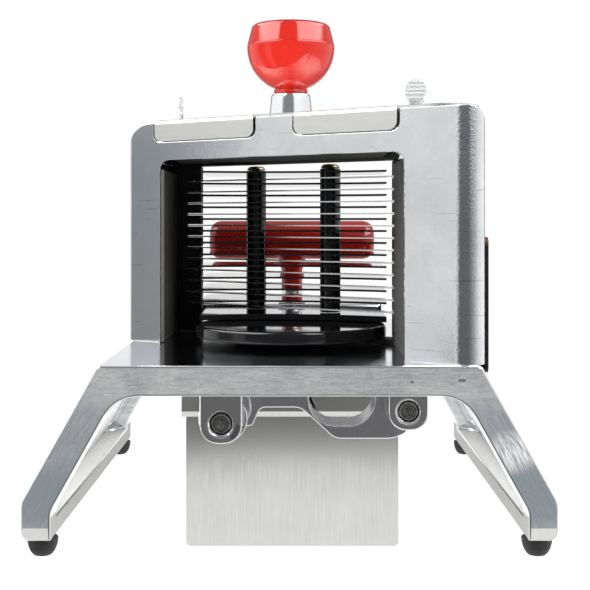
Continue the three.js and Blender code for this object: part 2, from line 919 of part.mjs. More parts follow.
// One blade: a flat strip, ground to an edge on the side that meets the fruit.
function blade(i) {
  const halfWidth = bladeWidth / 2;
  const halfThick = bladeThickness / 2;
  const section = [
    new THREE.Vector2(bladeSetback - halfWidth, -halfThick),
    new THREE.Vector2(bladeSetback + halfWidth - bladeGrind, -halfThick),
    new THREE.Vector2(bladeSetback + halfWidth, 0),
    new THREE.Vector2(bladeSetback + halfWidth - bladeGrind, halfThick),
    new THREE.Vector2(bladeSetback - halfWidth, halfThick),
  ];
  const strip = shifted(alongX(section, -bladeReach, bladeReach));
  const mesh = named(`blade_${String(i + 1).padStart(2, "0")}`, strip, "steel");
  mesh.position.z = bladeHeight(i);
  return mesh;
}

// A tab of the cover with the sheet's bend, as seen along the housing's front edge.
function coverTab(x0, x1) {
  const front = fit;
  const back = front + 4 * coverSheet;
  const inside = coverBendRadius - coverSheet;
  const section = rounded([
    [front, housingTop - tabDrop, 0],
    [front + coverSheet, housingTop - tabDrop, 0],
    [front + coverSheet, housingTop, inside],
    [back, housingTop, 0],
    [back, coverTop, 0],
    [front, coverTop, coverBendRadius],
  ]);
  const strip = alongX(section, x0, x1);
  const view = rounded([
    [x0, housingTop - tabDrop, tabCornerRadius],
    [x1, housingTop - tabDrop, tabCornerRadius],
    [x1, coverTop + overrun, 0],
    [x0, coverTop + overrun, 0],
  ]);
  return strip.intersect(alongY(view, -overrun, back + overrun));
}

function topCover() {
  const left = tabLeftStart;
  const right = housingReachRight;
  const plan = rounded(
    [
      [left, slantY(left, fit + coverBendRadius), 0],
      [right, slantY(right, fit + coverBendRadius), coverFrontRadius],
      [right, slantY(right, housingDepth - coverRearInset), coverRearRadius],
      [left, slantY(left, housingDepth - coverRearInset), coverRearRadius],
    ],
    fineArcStep,
  );
  const sheet = alongZ(plan, housingTop, coverTop);
  const tabs = [coverTab(tabLeftStart, tabLeftEnd), coverTab(tabRightStart, tabRightEnd)];
  const body = joined(sheet, ...tabs.map((tab) => leaned(tab)));
  const holes = thumbscrewPlaces().map(({ x, y }) =>
    standing(
      pillar(thumbscrewShank / 2 + 2 * fit, housingTop - overrun, coverTop + overrun, smallSides),
      x,
      y,
    ),
  );
  return named("top_cover", cut(body, ...holes), "brushedSheet");
}

// A thumbscrew: shank, collar and an upright round grip.
function thumbscrew({ name, x, y }, turn) {
  const seat = coverTop + fit;
  const stem = turned(
    [
      [0, housingTop - thumbscrewDepth],
      [thumbscrewShank / 2, housingTop - thumbscrewDepth],
      [thumbscrewShank / 2, seat],
      [thumbscrewCollarDiameter / 2, seat],
      [thumbscrewCollarDiameter / 2, seat + thumbscrewCollarHeight],
      [0, seat + thumbscrewCollarHeight],
    ],
    smallSides,
  );
  const outline = circle(0, seat + gripHeight, gripDiameter / 2, smallSides);
  const grip = alongY(outline, -gripThickness / 2, gripThickness / 2);
  const neckWidth = thumbscrewShank / 2;
  const neck = alongY(
    rectangle(-neckWidth, neckWidth, seat + thumbscrewCollarHeight / 2, seat + gripHeight),
    -gripThickness / 2,
    gripThickness / 2,
  );
  const mesh = named(name, joined(stem, grip, neck), "steel");
  mesh.position.set(x, y, 0);
  mesh.rotation.z = turn;
  return mesh;
}

function knobPost() {
  const top = knobBottom - fit;
  const profile = [
    [0, coverTop + fit],
    [postDiameterLow / 2, coverTop + fit],
    [postDiameterHigh / 2, top - postShoulder],
    [postDiameterHigh / 2 - postShoulder / 2, top],
    [studDiameter / 2, top],
    [studDiameter / 2, top + studLength],
    [0, top + studLength],
  ];
  const mesh = named("knob_post", turned(profile), "polishedAluminium");
  mesh.position.y = slantY(0, knobSetback);
  return mesh;
}

// The knob: a ball cut flat above, on a short neck ring, with a blind bore for the stud.
// Above the seam the side leans in and then rounds over into the flat top.
function knob() {
  const radius = knobDiameter / 2;
  const middle = knobBottom + knobCentre;
  const top = knobBottom + knobHeight;
  const bore = studDiameter / 2 + fit;
  const profile = [
    [0, knobBottom + studLength + 2 * fit],
    [bore, knobBottom + studLength + 2 * fit],
    [bore, knobBottom],
    [knobNeckDiameter / 2, knobBottom],
    [knobNeckDiameter / 2, knobBottom + knobNeckHeight],
  ];
  const lowest = -Math.asin((middle - knobBottom - knobNeckHeight) / radius);
  const seam = Math.asin(knobSeamRise / radius);
  const rimHigh = top - knobRimRadius;
  const highest = Math.asin((rimHigh - middle) / radius);
  const steps = 10;
  for (let k = 0; k <= steps; k += 1) {
    const angle = lowest + ((seam - lowest) * k) / steps;
    profile.push([radius * Math.cos(angle), middle + radius * Math.sin(angle)]);
  }
  const upperSteps = 5;
  for (let k = 1; k <= upperSteps; k += 1) {
    const share = k / upperSteps;
    const angle = seam + (highest - seam) * share;
    const flattening = knobUpperFlat * share * (1 - share);
    profile.push([radius * Math.cos(angle) - flattening, middle + radius * Math.sin(angle)]);
  }
  const rimOut = radius * Math.cos(highest);
  const rimSteps = 4;
  for (let k = 1; k <= rimSteps; k += 1) {
    const angle = ((Math.PI / 2) * k) / rimSteps;
    const inwards = knobRimRadius * (1 - Math.cos(angle));
    profile.push([rimOut - inwards, rimHigh + knobRimRadius * Math.sin(angle)]);
  }
  profile.push([0, top]);
  const mesh = named("knob", turned(profile), "redPlastic");
  mesh.position.y = slantY(0, knobSetback);
  return mesh;
}

// The fins' plan: a hollow front edge that cradles the fruit, cut off behind on the right.
function finOutline() {
  const side = finWidth / 2;
  const leftSide = cartridgeShift - side;
  const rightSide = cartridgeShift + side;
  const left = new THREE.Vector2(leftSide, finTipLeft);
  const right = new THREE.Vector2(rightSide, finTipRight);
  const middle = left.clone().add(right).divideScalar(2);
  const pull = new THREE.Vector2(middle.x, middle.y + 2 * finSag);
  const hollow = new THREE.QuadraticBezierCurve(left, pull, right);
  const rear = rounded([
    [rightSide, finTipRight, 0],
    [rightSide, finRearRight, finCornerRadius],
    [rightSide - finChamferWidth, finRear, finCornerRadius],
    [leftSide, finRear, finCornerRadius],
    [leftSide, finTipLeft, 0],
  ]);
  return [...hollow.getPoints(14), ...rear.slice(1, -1)];
}

function columnPlaces() {
  return [
    { side: "left", x: cartridgeShift - columnSpacing / 2 },
    { side: "right", x: cartridgeShift + columnSpacing / 2 },
  ].map((place) => ({ ...place, y: columnMiddle - skew * place.x }));
}

function circle(x, y, radius, sides) {
  const points = [];
  for (let k = 0; k < sides; k += 1) {
    const angle = (2 * Math.PI * k) / sides;
    points.push(new THREE.Vector2(x + radius * Math.cos(angle), y + radius * Math.sin(angle)));
  }
  return points;
}

function fin(name, z, thickness, withHoles) {
  const room = columnDiameter / 2 + fit;
  const holes = withHoles ? columnPlaces().map(({ x, y }) => circle(x, y, room, smallSides)) : [];
  const mesh = named(name, alongZ(finOutline(), -thickness / 2, thickness / 2, holes), "blackPlastic");
  mesh.position.z = z;
  return mesh;
}

function fins() {
  const meshes = [];
  for (let i = 0; i < bladeCount; i += 1) {
    const name = `pusher_fin_${String(i + 1).padStart(2, "0")}`;
    meshes.push(fin(name, finLowest + i * bladePitch, finThickness, true));
  }
  const middle = bottomFinTop - bottomFinThickness / 2;
  meshes.push(fin("pusher_fin_bottom", middle, bottomFinThickness, false));
  return meshes;
}

function column({ side, x, y }) {
  const outside = pillar(columnDiameter / 2, bottomFinTop + fit, columnTop, smallSides);
  const bore = pillar(
    screwShankDiameter / 2 + fit,
    columnTop - screwShankLength - fit,
    columnTop + overrun,
    smallSides,
  );
  const mesh = named(`pusher_column_${side}`, cut(outside, bore), "blackPlastic");
  mesh.position.set(x, y, 0);
  return mesh;
}

function columnScrew({ side, x, y }) {
  const seat = columnTop + fit;
  const radius = screwHeadDiameter / 2;
  const profile = [
    [0, columnTop - screwShankLength],
    [screwShankDiameter / 2, columnTop - screwShankLength],
    [screwShankDiameter / 2, seat],
    [radius, seat],
    [radius, seat + screwHeadHeight / 3],
    [radius * 0.75, seat + screwHeadHeight * 0.85],
    [0, seat + screwHeadHeight],
  ];
  const mesh = named(`column_screw_${side}`, turned(profile, smallSides), "bronze");
  mesh.position.set(x, y, 0);
  return mesh;
}

// The round floor that the fruit rests on, with a tail under the columns.
function floorDisc() {
  const radius = discDiameter / 2;
  const edge = discEdgeRadius;
  const middle = discMiddle;
  const profile = [[0, discBottom], [radius - edge / 2, discBottom], [radius, discBottom + edge / 2]];
  const steps = 3;
  for (let k = 0; k <= steps; k += 1) {
    const angle = ((Math.PI / 2) * k) / steps;
    profile.push([radius - edge * (1 - Math.cos(angle)), discTop - edge * (1 - Math.sin(angle))]);
  }
  profile.push([0, discTop]);
  const round = turned(profile, 48).translate([0, middle, 0]);
  const tailHalf = discTailWidth / 2;
  const tail = alongZ(
    rectangle(-tailHalf, tailHalf, middle, finRear, finCornerRadius),
    discBottom,
    discTop,
  );
  return named("floor_disc", joined(round, tail), "blackPlastic");
}

// The web between the two rods: an arch on the left, a belly with a window on the right.
function carriageWeb() {
  const outline = rounded([
    [rodLeft, carriageArchHeight - lugDrop, 0],
    [carriageArchStart - carriageBellyRadius / 2, carriageArchHeight - lugDrop, carriageBellyRadius / 4],
    [carriageArchStart, carriageArchHeight, carriageBellyRadius / 2],
    [carriageArchEnd, carriageArchHeight, carriageBellyRadius],
    [carriageBellyStart, carriageBellyHeight, carriageBellyRadius],
    [carriageBellyEnd, carriageBellyHeight, windowRadius],
    [rodRight + carriageBossDiameter / 2, rodHeight, carriageBellyRadius],
    [rodRight + carriageBossDiameter / 2, carriageWebTop, windowTopRadius],
    [rodLeft - carriageBossDiameter / 3, carriageWebTop, windowTopRadius],
    [rodLeft - carriageBossDiameter / 3, rodHeight, 0],
  ]);
  const window = rounded([
    [windowStart, windowBottom, windowRadius],
    [windowEnd, windowBottom, windowRadius],
    [windowEnd, windowTop, windowTopRadius],
    [windowStart, windowTop, windowTopRadius],
  ]);
  return alongY(outline, webFront, webRear, [window]);
}

function slideCarriage() {
  const bossRadius = carriageBossDiameter / 2;
  const bosses = [
    rod(bossRadius, rodLeft, rodHeight, leftBossFront, leftBossFront + carriageLeftBossLength),
    rod(bossRadius, rodRight, rodHeight, rightBossFront, rightBossFront + carriageRightBossLength),
  ];
  const spine = alongX(
    rounded([
      [webFront + fit, spineBottom, 0],
      [crossbarRear, spineBottom, pocketCornerRadius],
      [crossbarRear, crossbarBottom, fit],
      [crossbarRear - crossbarEdgeRadius, crossbarBottom, 0],
      [crossbarRear - crossbarEdgeRadius, crossbarTop - crossbarEdgeRadius, 0],
      [crossbarFront, crossbarTop - crossbarEdgeRadius, 0],
      [crossbarFront, discBottom - fit, 0],
      [riserFront, discBottom - fit, crossbarCornerRadius],
      [riserFront, spineTop, crossbarCornerRadius],
      [webFront + fit, spineTop, 0],
    ]),
    -spineWidth / 2,
    spineWidth / 2,
  );
  const barPlan = rectangle(
    -crossbarWidth / 2,
    crossbarWidth / 2,
    crossbarFront,
    crossbarRear,
    crossbarCornerRadius,
  );
  const barSection = rounded([
    [crossbarFront, crossbarBottom, 0],
    [crossbarRear, crossbarBottom, 0],
    [crossbarRear, crossbarTop, crossbarEdgeRadius],
    [crossbarFront, crossbarTop, crossbarEdgeRadius],
  ]);
  const bar = alongZ(barPlan, crossbarBottom, crossbarTop).intersect(
    alongX(barSection, -crossbarWidth / 2, crossbarWidth / 2),
  );
  const arm = block(
    -armWidth / 2,
    armWidth / 2,
    crossbarFront + crossbarEdgeRadius,
    handleSetback,
    crossbarBottom,
    handleBossTop - crossbarEdgeRadius,
  );
  const mount = turned([
    [0, handleBossBottom],
    [handleBossDiameter / 2, handleBossBottom],
    [handleBossDiameter / 2, handleBossTop],
    [handleNeckDiameter / 2, handleBossTop],
    [handleNeckDiameter / 2, handleNeckTop],
    [handleStudDiameter / 2, handleNeckTop],
    [handleStudDiameter / 2, handleNeckTop + handleStudLength],
    [0, handleNeckTop + handleStudLength],
  ]).translate([0, handleSetback, 0]);
  const body = joined(carriageWeb(), ...bosses, spine, bar, arm, mount);
  const boreRadius = bushingDiameter / 2 + fit;
  const bores = [
    rod(boreRadius, rodLeft, rodHeight, leftBossFront - overrun, leftBossFront + carriageLeftBossLength + overrun),
    rod(boreRadius, rodRight, rodHeight, rightBossFront - overrun, rightBossFront + carriageRightBossLength + overrun),
  ];
  return named("slide_carriage", cut(body, ...bores), "polishedAluminium");
}

function bushing(name, x, front, length) {
  const sleeve = rod(bushingDiameter / 2, x, rodHeight, front + fit, front + length - fit);
  const bore = rod(bushingBore, x, rodHeight, front - overrun, front + length + overrun);
  return named(name, cut(sleeve, bore), "blackPlastic");
}

// The handle: a round bar across the push direction on an upright post.
function handle() {
  const end = handleLength / 2;
  const radius = handleDiameter / 2;
  const steps = 4;
  const cap = [];
  for (let k = 0; k <= steps; k += 1) {
    const angle = ((Math.PI / 2) * k) / steps;
    cap.push([
      radius - handleEndRadius * (1 - Math.cos(angle)),
      end - handleEndRadius * (1 - Math.sin(angle)),
    ]);
  }
  const lower = cap.map(([r, z]) => [r, -z]).reverse();
  const profile = [[0, -end], ...lower, ...cap, [0, end]];
  const bar = turned(profile).rotate([0, 90, 0]).translate([0, 0, handleHeight]);
  const postBottom = handleNeckTop + fit;
  const flareBottom = handleHeight - radius - handleFlareHeight;
  const post = turned([
    [0, postBottom],
    [handlePostDiameter / 2, postBottom],
    [handlePostDiameter / 2, flareBottom],
    [handlePostFlare / 2, flareBottom + handleFlareHeight],
    [handlePostFlare / 2, handleHeight],
    [0, handleHeight],
  ]);
  const bore = pillar(
    handleStudDiameter / 2 + fit,
    postBottom - overrun,
    handleNeckTop + handleStudLength + fit,
    smallSides,
  );
  const mesh = named("t_handle", cut(joined(bar, post), bore), "redPlastic");
  mesh.position.y = handleSetback;
  return mesh;
}

function sideGuard() {
  const front = deckFront + guardFrontSetback;
  const bottom = guardBottom;
  const outline = rounded([
    [front, bottom, guardFrontRadius],
    [front + guardLength, bottom, guardFrontRadius],
    [front + guardLength, bottom + guardHeight, guardRearRadius],
    [front, bottom + guardHeight, guardFrontRadius],
  ]);
  const inner = housingReachRight + fit;
  const sheet = alongX(outline, inner, inner + guardThickness);
  return named("side_guard", sheet, "blackPlastic");
}

function frameGroup() {
  const group = new THREE.Group();
  group.add(baseCasting(), bladeHousing(), topCover(), knobPost(), knob(), sideGuard(), tableStop());
  group.add(...linings(), comb("comb_left", -1), comb("comb_right", 1), ...cartridgeBars());
  for (let i = 0; i < bladeCount; i += 1) group.add(blade(i));
  group.add(guideRod("guide_rod_left", rodLeft, leftLugFront));
  group.add(guideRod("guide_rod_right", rodRight, rightLugFront));
  group.add(stopBolt("stop_bolt_left", rodLeft), stopBolt("stop_bolt_right", rodRight));
  footPlaces().forEach(({ name, x, y }) => {
    const rubber = foot(name);
    rubber.position.set(x, y, 0);
    group.add(rubber);
  });
  return group;
}

function pusherGroup() {
  const group = new THREE.Group();
  group.add(floorDisc(), ...fins(), slideCarriage(), handle());
  columnPlaces().forEach((place) => group.add(column(place), columnScrew(place)));
  group.add(bushing("bushing_left", rodLeft, leftBossFront, carriageLeftBossLength));
  group.add(bushing("bushing_right", rodRight, rightBossFront, carriageRightBossLength));
  return group;
}

const [screwLeft, screwRight] = thumbscrewPlaces();
const slicer = new THREE.Group();
slicer.name = "fruit_slicer";
slicer.add(frameGroup(), pusherGroup());
slicer.add(thumbscrew(screwLeft, Math.PI / 2), thumbscrew(screwRight, 0));
slicer.position.y = -stopFace;

export default slicer;
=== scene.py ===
# %% [markdown]
# A push slicer, dressed for a studio picture.
# The imported model gives every solid its size and place, in metres, so this script never moves one.
# It rounds their edges, gives each finish a procedural material, and lights the whole like a product shot.
# The box of the untouched model is kept at the start, and the floor is laid just under it.

import json
import math

import bmesh
import bpy
from mathutils import Matrix, Vector

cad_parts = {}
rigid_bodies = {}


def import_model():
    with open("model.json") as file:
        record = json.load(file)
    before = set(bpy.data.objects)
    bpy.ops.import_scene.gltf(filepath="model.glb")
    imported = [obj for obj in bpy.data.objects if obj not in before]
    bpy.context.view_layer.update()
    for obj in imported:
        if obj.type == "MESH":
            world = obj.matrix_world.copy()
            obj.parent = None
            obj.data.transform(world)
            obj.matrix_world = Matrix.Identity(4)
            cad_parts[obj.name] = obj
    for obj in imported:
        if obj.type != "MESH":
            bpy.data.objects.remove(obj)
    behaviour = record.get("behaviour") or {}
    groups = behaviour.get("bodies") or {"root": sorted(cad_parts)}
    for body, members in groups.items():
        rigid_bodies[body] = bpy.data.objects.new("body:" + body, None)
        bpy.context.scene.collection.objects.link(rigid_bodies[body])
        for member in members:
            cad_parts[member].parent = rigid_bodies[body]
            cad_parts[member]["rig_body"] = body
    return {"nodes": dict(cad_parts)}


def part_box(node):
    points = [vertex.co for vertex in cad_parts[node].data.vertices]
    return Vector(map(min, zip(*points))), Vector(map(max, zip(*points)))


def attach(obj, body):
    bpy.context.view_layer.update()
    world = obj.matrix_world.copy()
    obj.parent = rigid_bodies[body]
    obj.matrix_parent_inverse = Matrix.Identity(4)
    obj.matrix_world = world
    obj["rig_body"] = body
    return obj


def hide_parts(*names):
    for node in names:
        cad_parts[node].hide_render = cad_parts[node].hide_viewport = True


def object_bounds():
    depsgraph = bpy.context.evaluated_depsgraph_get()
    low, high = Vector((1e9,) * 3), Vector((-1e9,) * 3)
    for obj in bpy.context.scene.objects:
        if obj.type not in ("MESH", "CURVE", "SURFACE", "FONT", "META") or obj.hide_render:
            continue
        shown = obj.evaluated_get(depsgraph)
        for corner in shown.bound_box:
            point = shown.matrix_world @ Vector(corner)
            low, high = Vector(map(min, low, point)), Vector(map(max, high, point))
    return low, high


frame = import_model()
model_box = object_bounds()
MM = 0.001
print("solids in the model:", len(frame["nodes"]))

# %% [markdown]
# The picture was taken square on, from a little above the blades' height, by a long lens on a level camera.
# A level camera keeps upright edges upright, and the lens is shifted to put the object in the frame.
# The focal length, measured in pixels, becomes a lens in millimetres once the sensor's width is set.

# %% Camera
PICTURE_SIZE = 590
FOCAL_PIXELS = 1171
OPTICAL_CENTRE_X = 297.45
OPTICAL_CENTRE_Y = 220.6
SENSOR_WIDTH = 36
CAMERA_PLACE = Vector((3.42, -771, 148.9)) * MM

camera_lens = bpy.data.cameras.new("camera")
camera_lens.sensor_width = SENSOR_WIDTH
camera_lens.lens = SENSOR_WIDTH * FOCAL_PIXELS / PICTURE_SIZE
camera_lens.shift_x = (PICTURE_SIZE / 2 - OPTICAL_CENTRE_X) / PICTURE_SIZE
camera_lens.shift_y = (OPTICAL_CENTRE_Y - PICTURE_SIZE / 2) / PICTURE_SIZE
camera_lens.clip_start = 10 * MM
camera = bpy.data.objects.new("camera", camera_lens)
camera.location = CAMERA_PLACE
camera.rotation_euler = (math.radians(90), 0, 0)
bpy.context.scene.collection.objects.link(camera)
bpy.context.scene.camera = camera
bpy.context.scene.view_settings.view_transform = "Standard"
print("lens in mm:", round(camera_lens.lens, 2))

# %% [markdown]
# Node trees are easier to read when a node is made and joined up in one call.
# The first helper makes a node, sets its plain settings, and fills its inputs with values or with links.
# An input is named in the call, or numbered, as in _0, where several share one name.
# The others do sums, change a value's range and mix two colours.

# %% Helpers for nodes
def add_node(tree, kind, settings=None, **inputs):
    node = tree.nodes.new(kind)
    for name, value in (settings or {}).items():
        setattr(node, name, value)
    for name, value in inputs.items():
        key = int(name[1:]) if name[1:].isdigit() else name.replace("_", " ")
        if isinstance(value, bpy.types.NodeSocket):
            tree.links.new(value, node.inputs[key])
        else:
            node.inputs[key].default_value = value
    return node


def math_node(tree, operation, first, second=0.0, clamp=False):
    settings = {"operation": operation, "use_clamp": clamp}
    return add_node(tree, "ShaderNodeMath", settings, _0=first, _1=second).outputs[0]


def vector_node(tree, operation, first, second=(0, 0, 0)):
    return add_node(tree, "ShaderNodeVectorMath", {"operation": operation}, _0=first, _1=second)


def remap(tree, value, low, high, to_low=0.0, to_high=1.0, smooth=False):
    settings = {"interpolation_type": "SMOOTHSTEP" if smooth else "LINEAR"}
    ends = {"From_Min": low, "From_Max": high, "To_Min": to_low, "To_Max": to_high}
    return add_node(tree, "ShaderNodeMapRange", settings, Value=value, **ends).outputs["Result"]


def mixed(tree, share, first, second):
    node = add_node(tree, "ShaderNodeMix", {"data_type": "RGBA"}, _0=share)
    for socket, colour in ((node.inputs[6], first), (node.inputs[7], second)):
        if isinstance(colour, bpy.types.NodeSocket):
            tree.links.new(colour, socket)
        else:
            socket.default_value = (*colour, 1)
    return node.outputs[2]


print("node helpers ready")

# %% [markdown]
# Metal shows little but its surroundings, so the studio around the slicer matters more than its lamps.
# The surroundings are painted into the world by direction: white behind, a darker room on the camera's
# side, and pale screens to the left and right of it. Only reflections see this painting.
# A direction is given by its compass angle, which is 0 towards the camera and grows to the right,
# and by its height above the horizon. A window is 1 between two angles and falls off softly at both.

# %% Helpers for directions
def window(tree, value, start, end, soft):
    rising = remap(tree, value, start - soft, start + soft, smooth=True)
    falling = remap(tree, value, end - soft, end + soft, 1.0, 0.0, smooth=True)
    return math_node(tree, "MULTIPLY", rising, falling)


def laid_over(tree, base, mask, level):
    difference = math_node(tree, "SUBTRACT", level, base)
    change = math_node(tree, "MULTIPLY", difference, mask)
    return math_node(tree, "ADD", base, change)


def compass(tree, east, north):
    toward_camera = math_node(tree, "MULTIPLY", north, -1.0)
    turn = math_node(tree, "ARCTAN2", east, toward_camera)
    return math_node(tree, "MULTIPLY", turn, 180 / math.pi)


print("window and compass ready")

# %% [markdown]
# At the height of the table the room is dark in front. To the right it grows lighter, and to the left stand
# a bright screen and a grey one. Further round it is white, with a dark flag on each side that draws
# the outline of round pieces. The floor repeats these levels, so the horizon doesn't show in the metal.

# %% Low part of the room
ROOM = 0.13
RIGHT_SIDE = 0.85
RIGHT_SPAN = (6, 76)
BEHIND = 1.0
BEHIND_START = (88, 104)
LEFT_SCREEN = 0.76
LEFT_SCREEN_SPAN = (-73, -56)
LEFT_GREY = 0.27
LEFT_GREY_SPAN = (-93, -73)
FLAG = 0.30
FLAG_SPAN = (138, 160)


def low_levels(tree, azimuth):
    side = math_node(tree, "ABSOLUTE", azimuth)
    growing = math_node(tree, "POWER", remap(tree, azimuth, *RIGHT_SPAN), 1.7)
    level = remap(tree, growing, 0, 1, ROOM, RIGHT_SIDE)
    level = laid_over(tree, level, remap(tree, side, *BEHIND_START, smooth=True), BEHIND)
    level = laid_over(tree, level, window(tree, azimuth, *LEFT_GREY_SPAN, 2.5), LEFT_GREY)
    level = laid_over(tree, level, window(tree, azimuth, *LEFT_SCREEN_SPAN, 2), LEFT_SCREEN)
    return laid_over(tree, level, window(tree, side, *FLAG_SPAN, 4), FLAG)


world = bpy.data.worlds.new("studio")
world.use_nodes = True
bpy.context.scene.world = world
sky = world.node_tree
sky.nodes.clear()
direction = add_node(sky, "ShaderNodeTexCoord").outputs["Generated"]
parts = add_node(sky, "ShaderNodeSeparateXYZ", Vector=direction).outputs
azimuth = compass(sky, parts["X"], parts["Y"])
elevation = math_node(sky, "MULTIPLY", math_node(sky, "ARCSINE", parts["Z"]), 180 / math.pi)
low_level = low_levels(sky, azimuth)
print("nodes in the low part:", len(sky.nodes))

# %% [markdown]
# Above the table's height the screens are wider, and higher still a large soft box hangs on each side.
# Its edges lean, as those of a tilted box do. Gloss plastic shows the boxes as pale windows,
# which takes a strong level, because plastic reflects only a few parts in a hundred.

# %% High part of the room
ROOM_HIGH = 0.24
BEHIND_HIGH = 0.50
OVERHEAD = 0.55
HIGH_LEFT = 1.0
HIGH_LEFT_SPAN = (-140, -47)
HIGH_RIGHT = 0.95
HIGH_RIGHT_SPAN = (18, 140)
HIGH_FLAG_SPAN = (140, 168)
SOFT_BOX = 7.0
SOFT_BOX_HEIGHTS = (27, 62)
SOFT_BOX_SPANS = ((-112, -33), (20, 108))
SOFT_BOX_LEAN = 0.16
SOFT_BOX_EDGE = 2


def soft_box(tree, base, span):
    lean = remap(tree, elevation, 20, 70, 1 - SOFT_BOX_LEAN, 1 + SOFT_BOX_LEAN)
    leaned = math_node(tree, "MULTIPLY", azimuth, lean)
    across = window(tree, leaned, *span, SOFT_BOX_EDGE)
    along = window(tree, elevation, *SOFT_BOX_HEIGHTS, SOFT_BOX_EDGE)
    return laid_over(tree, base, math_node(tree, "MULTIPLY", across, along), SOFT_BOX)


side_angle = math_node(sky, "ABSOLUTE", azimuth)
level = remap(sky, side_angle, 132, 138, ROOM_HIGH, BEHIND)
level = laid_over(sky, level, window(sky, azimuth, *HIGH_LEFT_SPAN, 3), HIGH_LEFT)
level = laid_over(sky, level, window(sky, azimuth, *HIGH_RIGHT_SPAN, 3), HIGH_RIGHT)
level = laid_over(sky, level, window(sky, side_angle, *HIGH_FLAG_SPAN, 4), FLAG)
level = laid_over(sky, low_level, remap(sky, elevation, 4, 10, smooth=True), level)
far_round = remap(sky, side_angle, 96, 110, smooth=True)
high_up = remap(sky, elevation, 15, 20, smooth=True)
level = laid_over(sky, level, math_node(sky, "MULTIPLY", far_round, high_up), BEHIND_HIGH)
level = laid_over(sky, level, remap(sky, elevation, 70, 78, smooth=True), OVERHEAD)
for span in SOFT_BOX_SPANS:
    level = soft_box(sky, level, span)
print("soft boxes:", len(SOFT_BOX_SPANS))

# %% [markdown]
# The dark parts of the room are a little blue. The world's output tells three kinds of ray apart:
# the camera sees white, reflections see the painted room, and everything else gets plain grey light.
# So colours render about as they are written.

# %% World output
PLAIN_LIGHT = 0.44
DARK_TINT = (0.88, 0.98, 1.06)
LIGHT_TINT = (1.0, 1.0, 0.995)
WHITE = (1, 1, 1, 1)

seen = add_node(sky, "ShaderNodeLightPath").outputs
tint = mixed(sky, remap(sky, level, 0.15, 0.75), DARK_TINT, LIGHT_TINT)
mirrored = add_node(sky, "ShaderNodeBackground", Color=tint, Strength=level).outputs[0]
plain = add_node(sky, "ShaderNodeBackground", Color=WHITE, Strength=PLAIN_LIGHT).outputs[0]
white = add_node(sky, "ShaderNodeBackground", Color=WHITE, Strength=1.0).outputs[0]
lit = add_node(sky, "ShaderNodeMixShader", _0=seen["Is Glossy Ray"], _1=plain, _2=mirrored).outputs[0]
shown = add_node(sky, "ShaderNodeMixShader", _0=seen["Is Camera Ray"], _1=lit, _2=white).outputs[0]
add_node(sky, "ShaderNodeOutputWorld", Surface=shown)
print("nodes in the world:", len(sky.nodes))

# %% [markdown]
# Two wide lamps stand to the left and the right of the camera and model the matt pieces.
# Two more stand low in front, and shine in under the table on the insides of the legs.
# Reflections don't see them, because the soft boxes painted above stand for them there.
# A lamp's place is given by its angle around the slicer and its angle above the horizon, in degrees.

# %% Lamps
LAMP_LEVEL = 3.5
LOW_LAMP_LEVEL = 13.0
LAMP_DISTANCE = 1.3
LAMP_TARGET = Vector((0, -150, 110)) * MM


def soft_lamp(name, around, above, width, height, radiance):
    data = bpy.data.lights.new(name, "AREA")
    data.shape = "RECTANGLE"
    data.size = width
    data.size_y = height
    data.energy = radiance * math.pi * width * height
    lamp = bpy.data.objects.new(name, data)
    turn = math.radians(around)
    rise = math.radians(above)
    sideways = math.cos(rise) * math.sin(turn)
    forward = -math.cos(rise) * math.cos(turn)
    lamp.location = LAMP_TARGET + LAMP_DISTANCE * Vector((sideways, forward, math.sin(rise)))
    lamp.rotation_euler = (LAMP_TARGET - lamp.location).to_track_quat("-Z", "Y").to_euler()
    lamp.visible_glossy = False
    bpy.context.scene.collection.objects.link(lamp)


soft_lamp("left_lamp", around=-56, above=40, width=1.0, height=0.55, radiance=LAMP_LEVEL)
soft_lamp("right_lamp", around=50, above=42, width=0.9, height=0.5, radiance=LAMP_LEVEL)
for side, around in (("left", -50), ("right", 50)):
    soft_lamp("low_" + side + "_lamp", around, above=-3, width=0.6, height=0.22, radiance=LOW_LAMP_LEVEL)
print("lamps:", len(bpy.data.lights))

# %% [markdown]
# The slicer's stop plate hangs below its feet, so the floor lies just under that plate.
# The floor is matt and pale. It adds white for the camera, which keeps a faint shadow on it,
# and some light from below for matt surfaces, so that the insides of the legs don't sink into the dark.
# Metal sees a white table that ends some way round the slicer, with the room beyond it,
# and that is what shades the plate from dark at the top to bright below.

# %% Floor finish
FLOOR_GREY = 0.62
FLOOR_GLOW = 0.74
FLOOR_LIFT = 1.9
TABLE_LEVEL = 0.86
TABLE_RADIUS = 0.215
TABLE_EDGE = 0.03
TABLE_CENTRE_Y = -0.1
ROOM_CENTRE_Y = -0.2


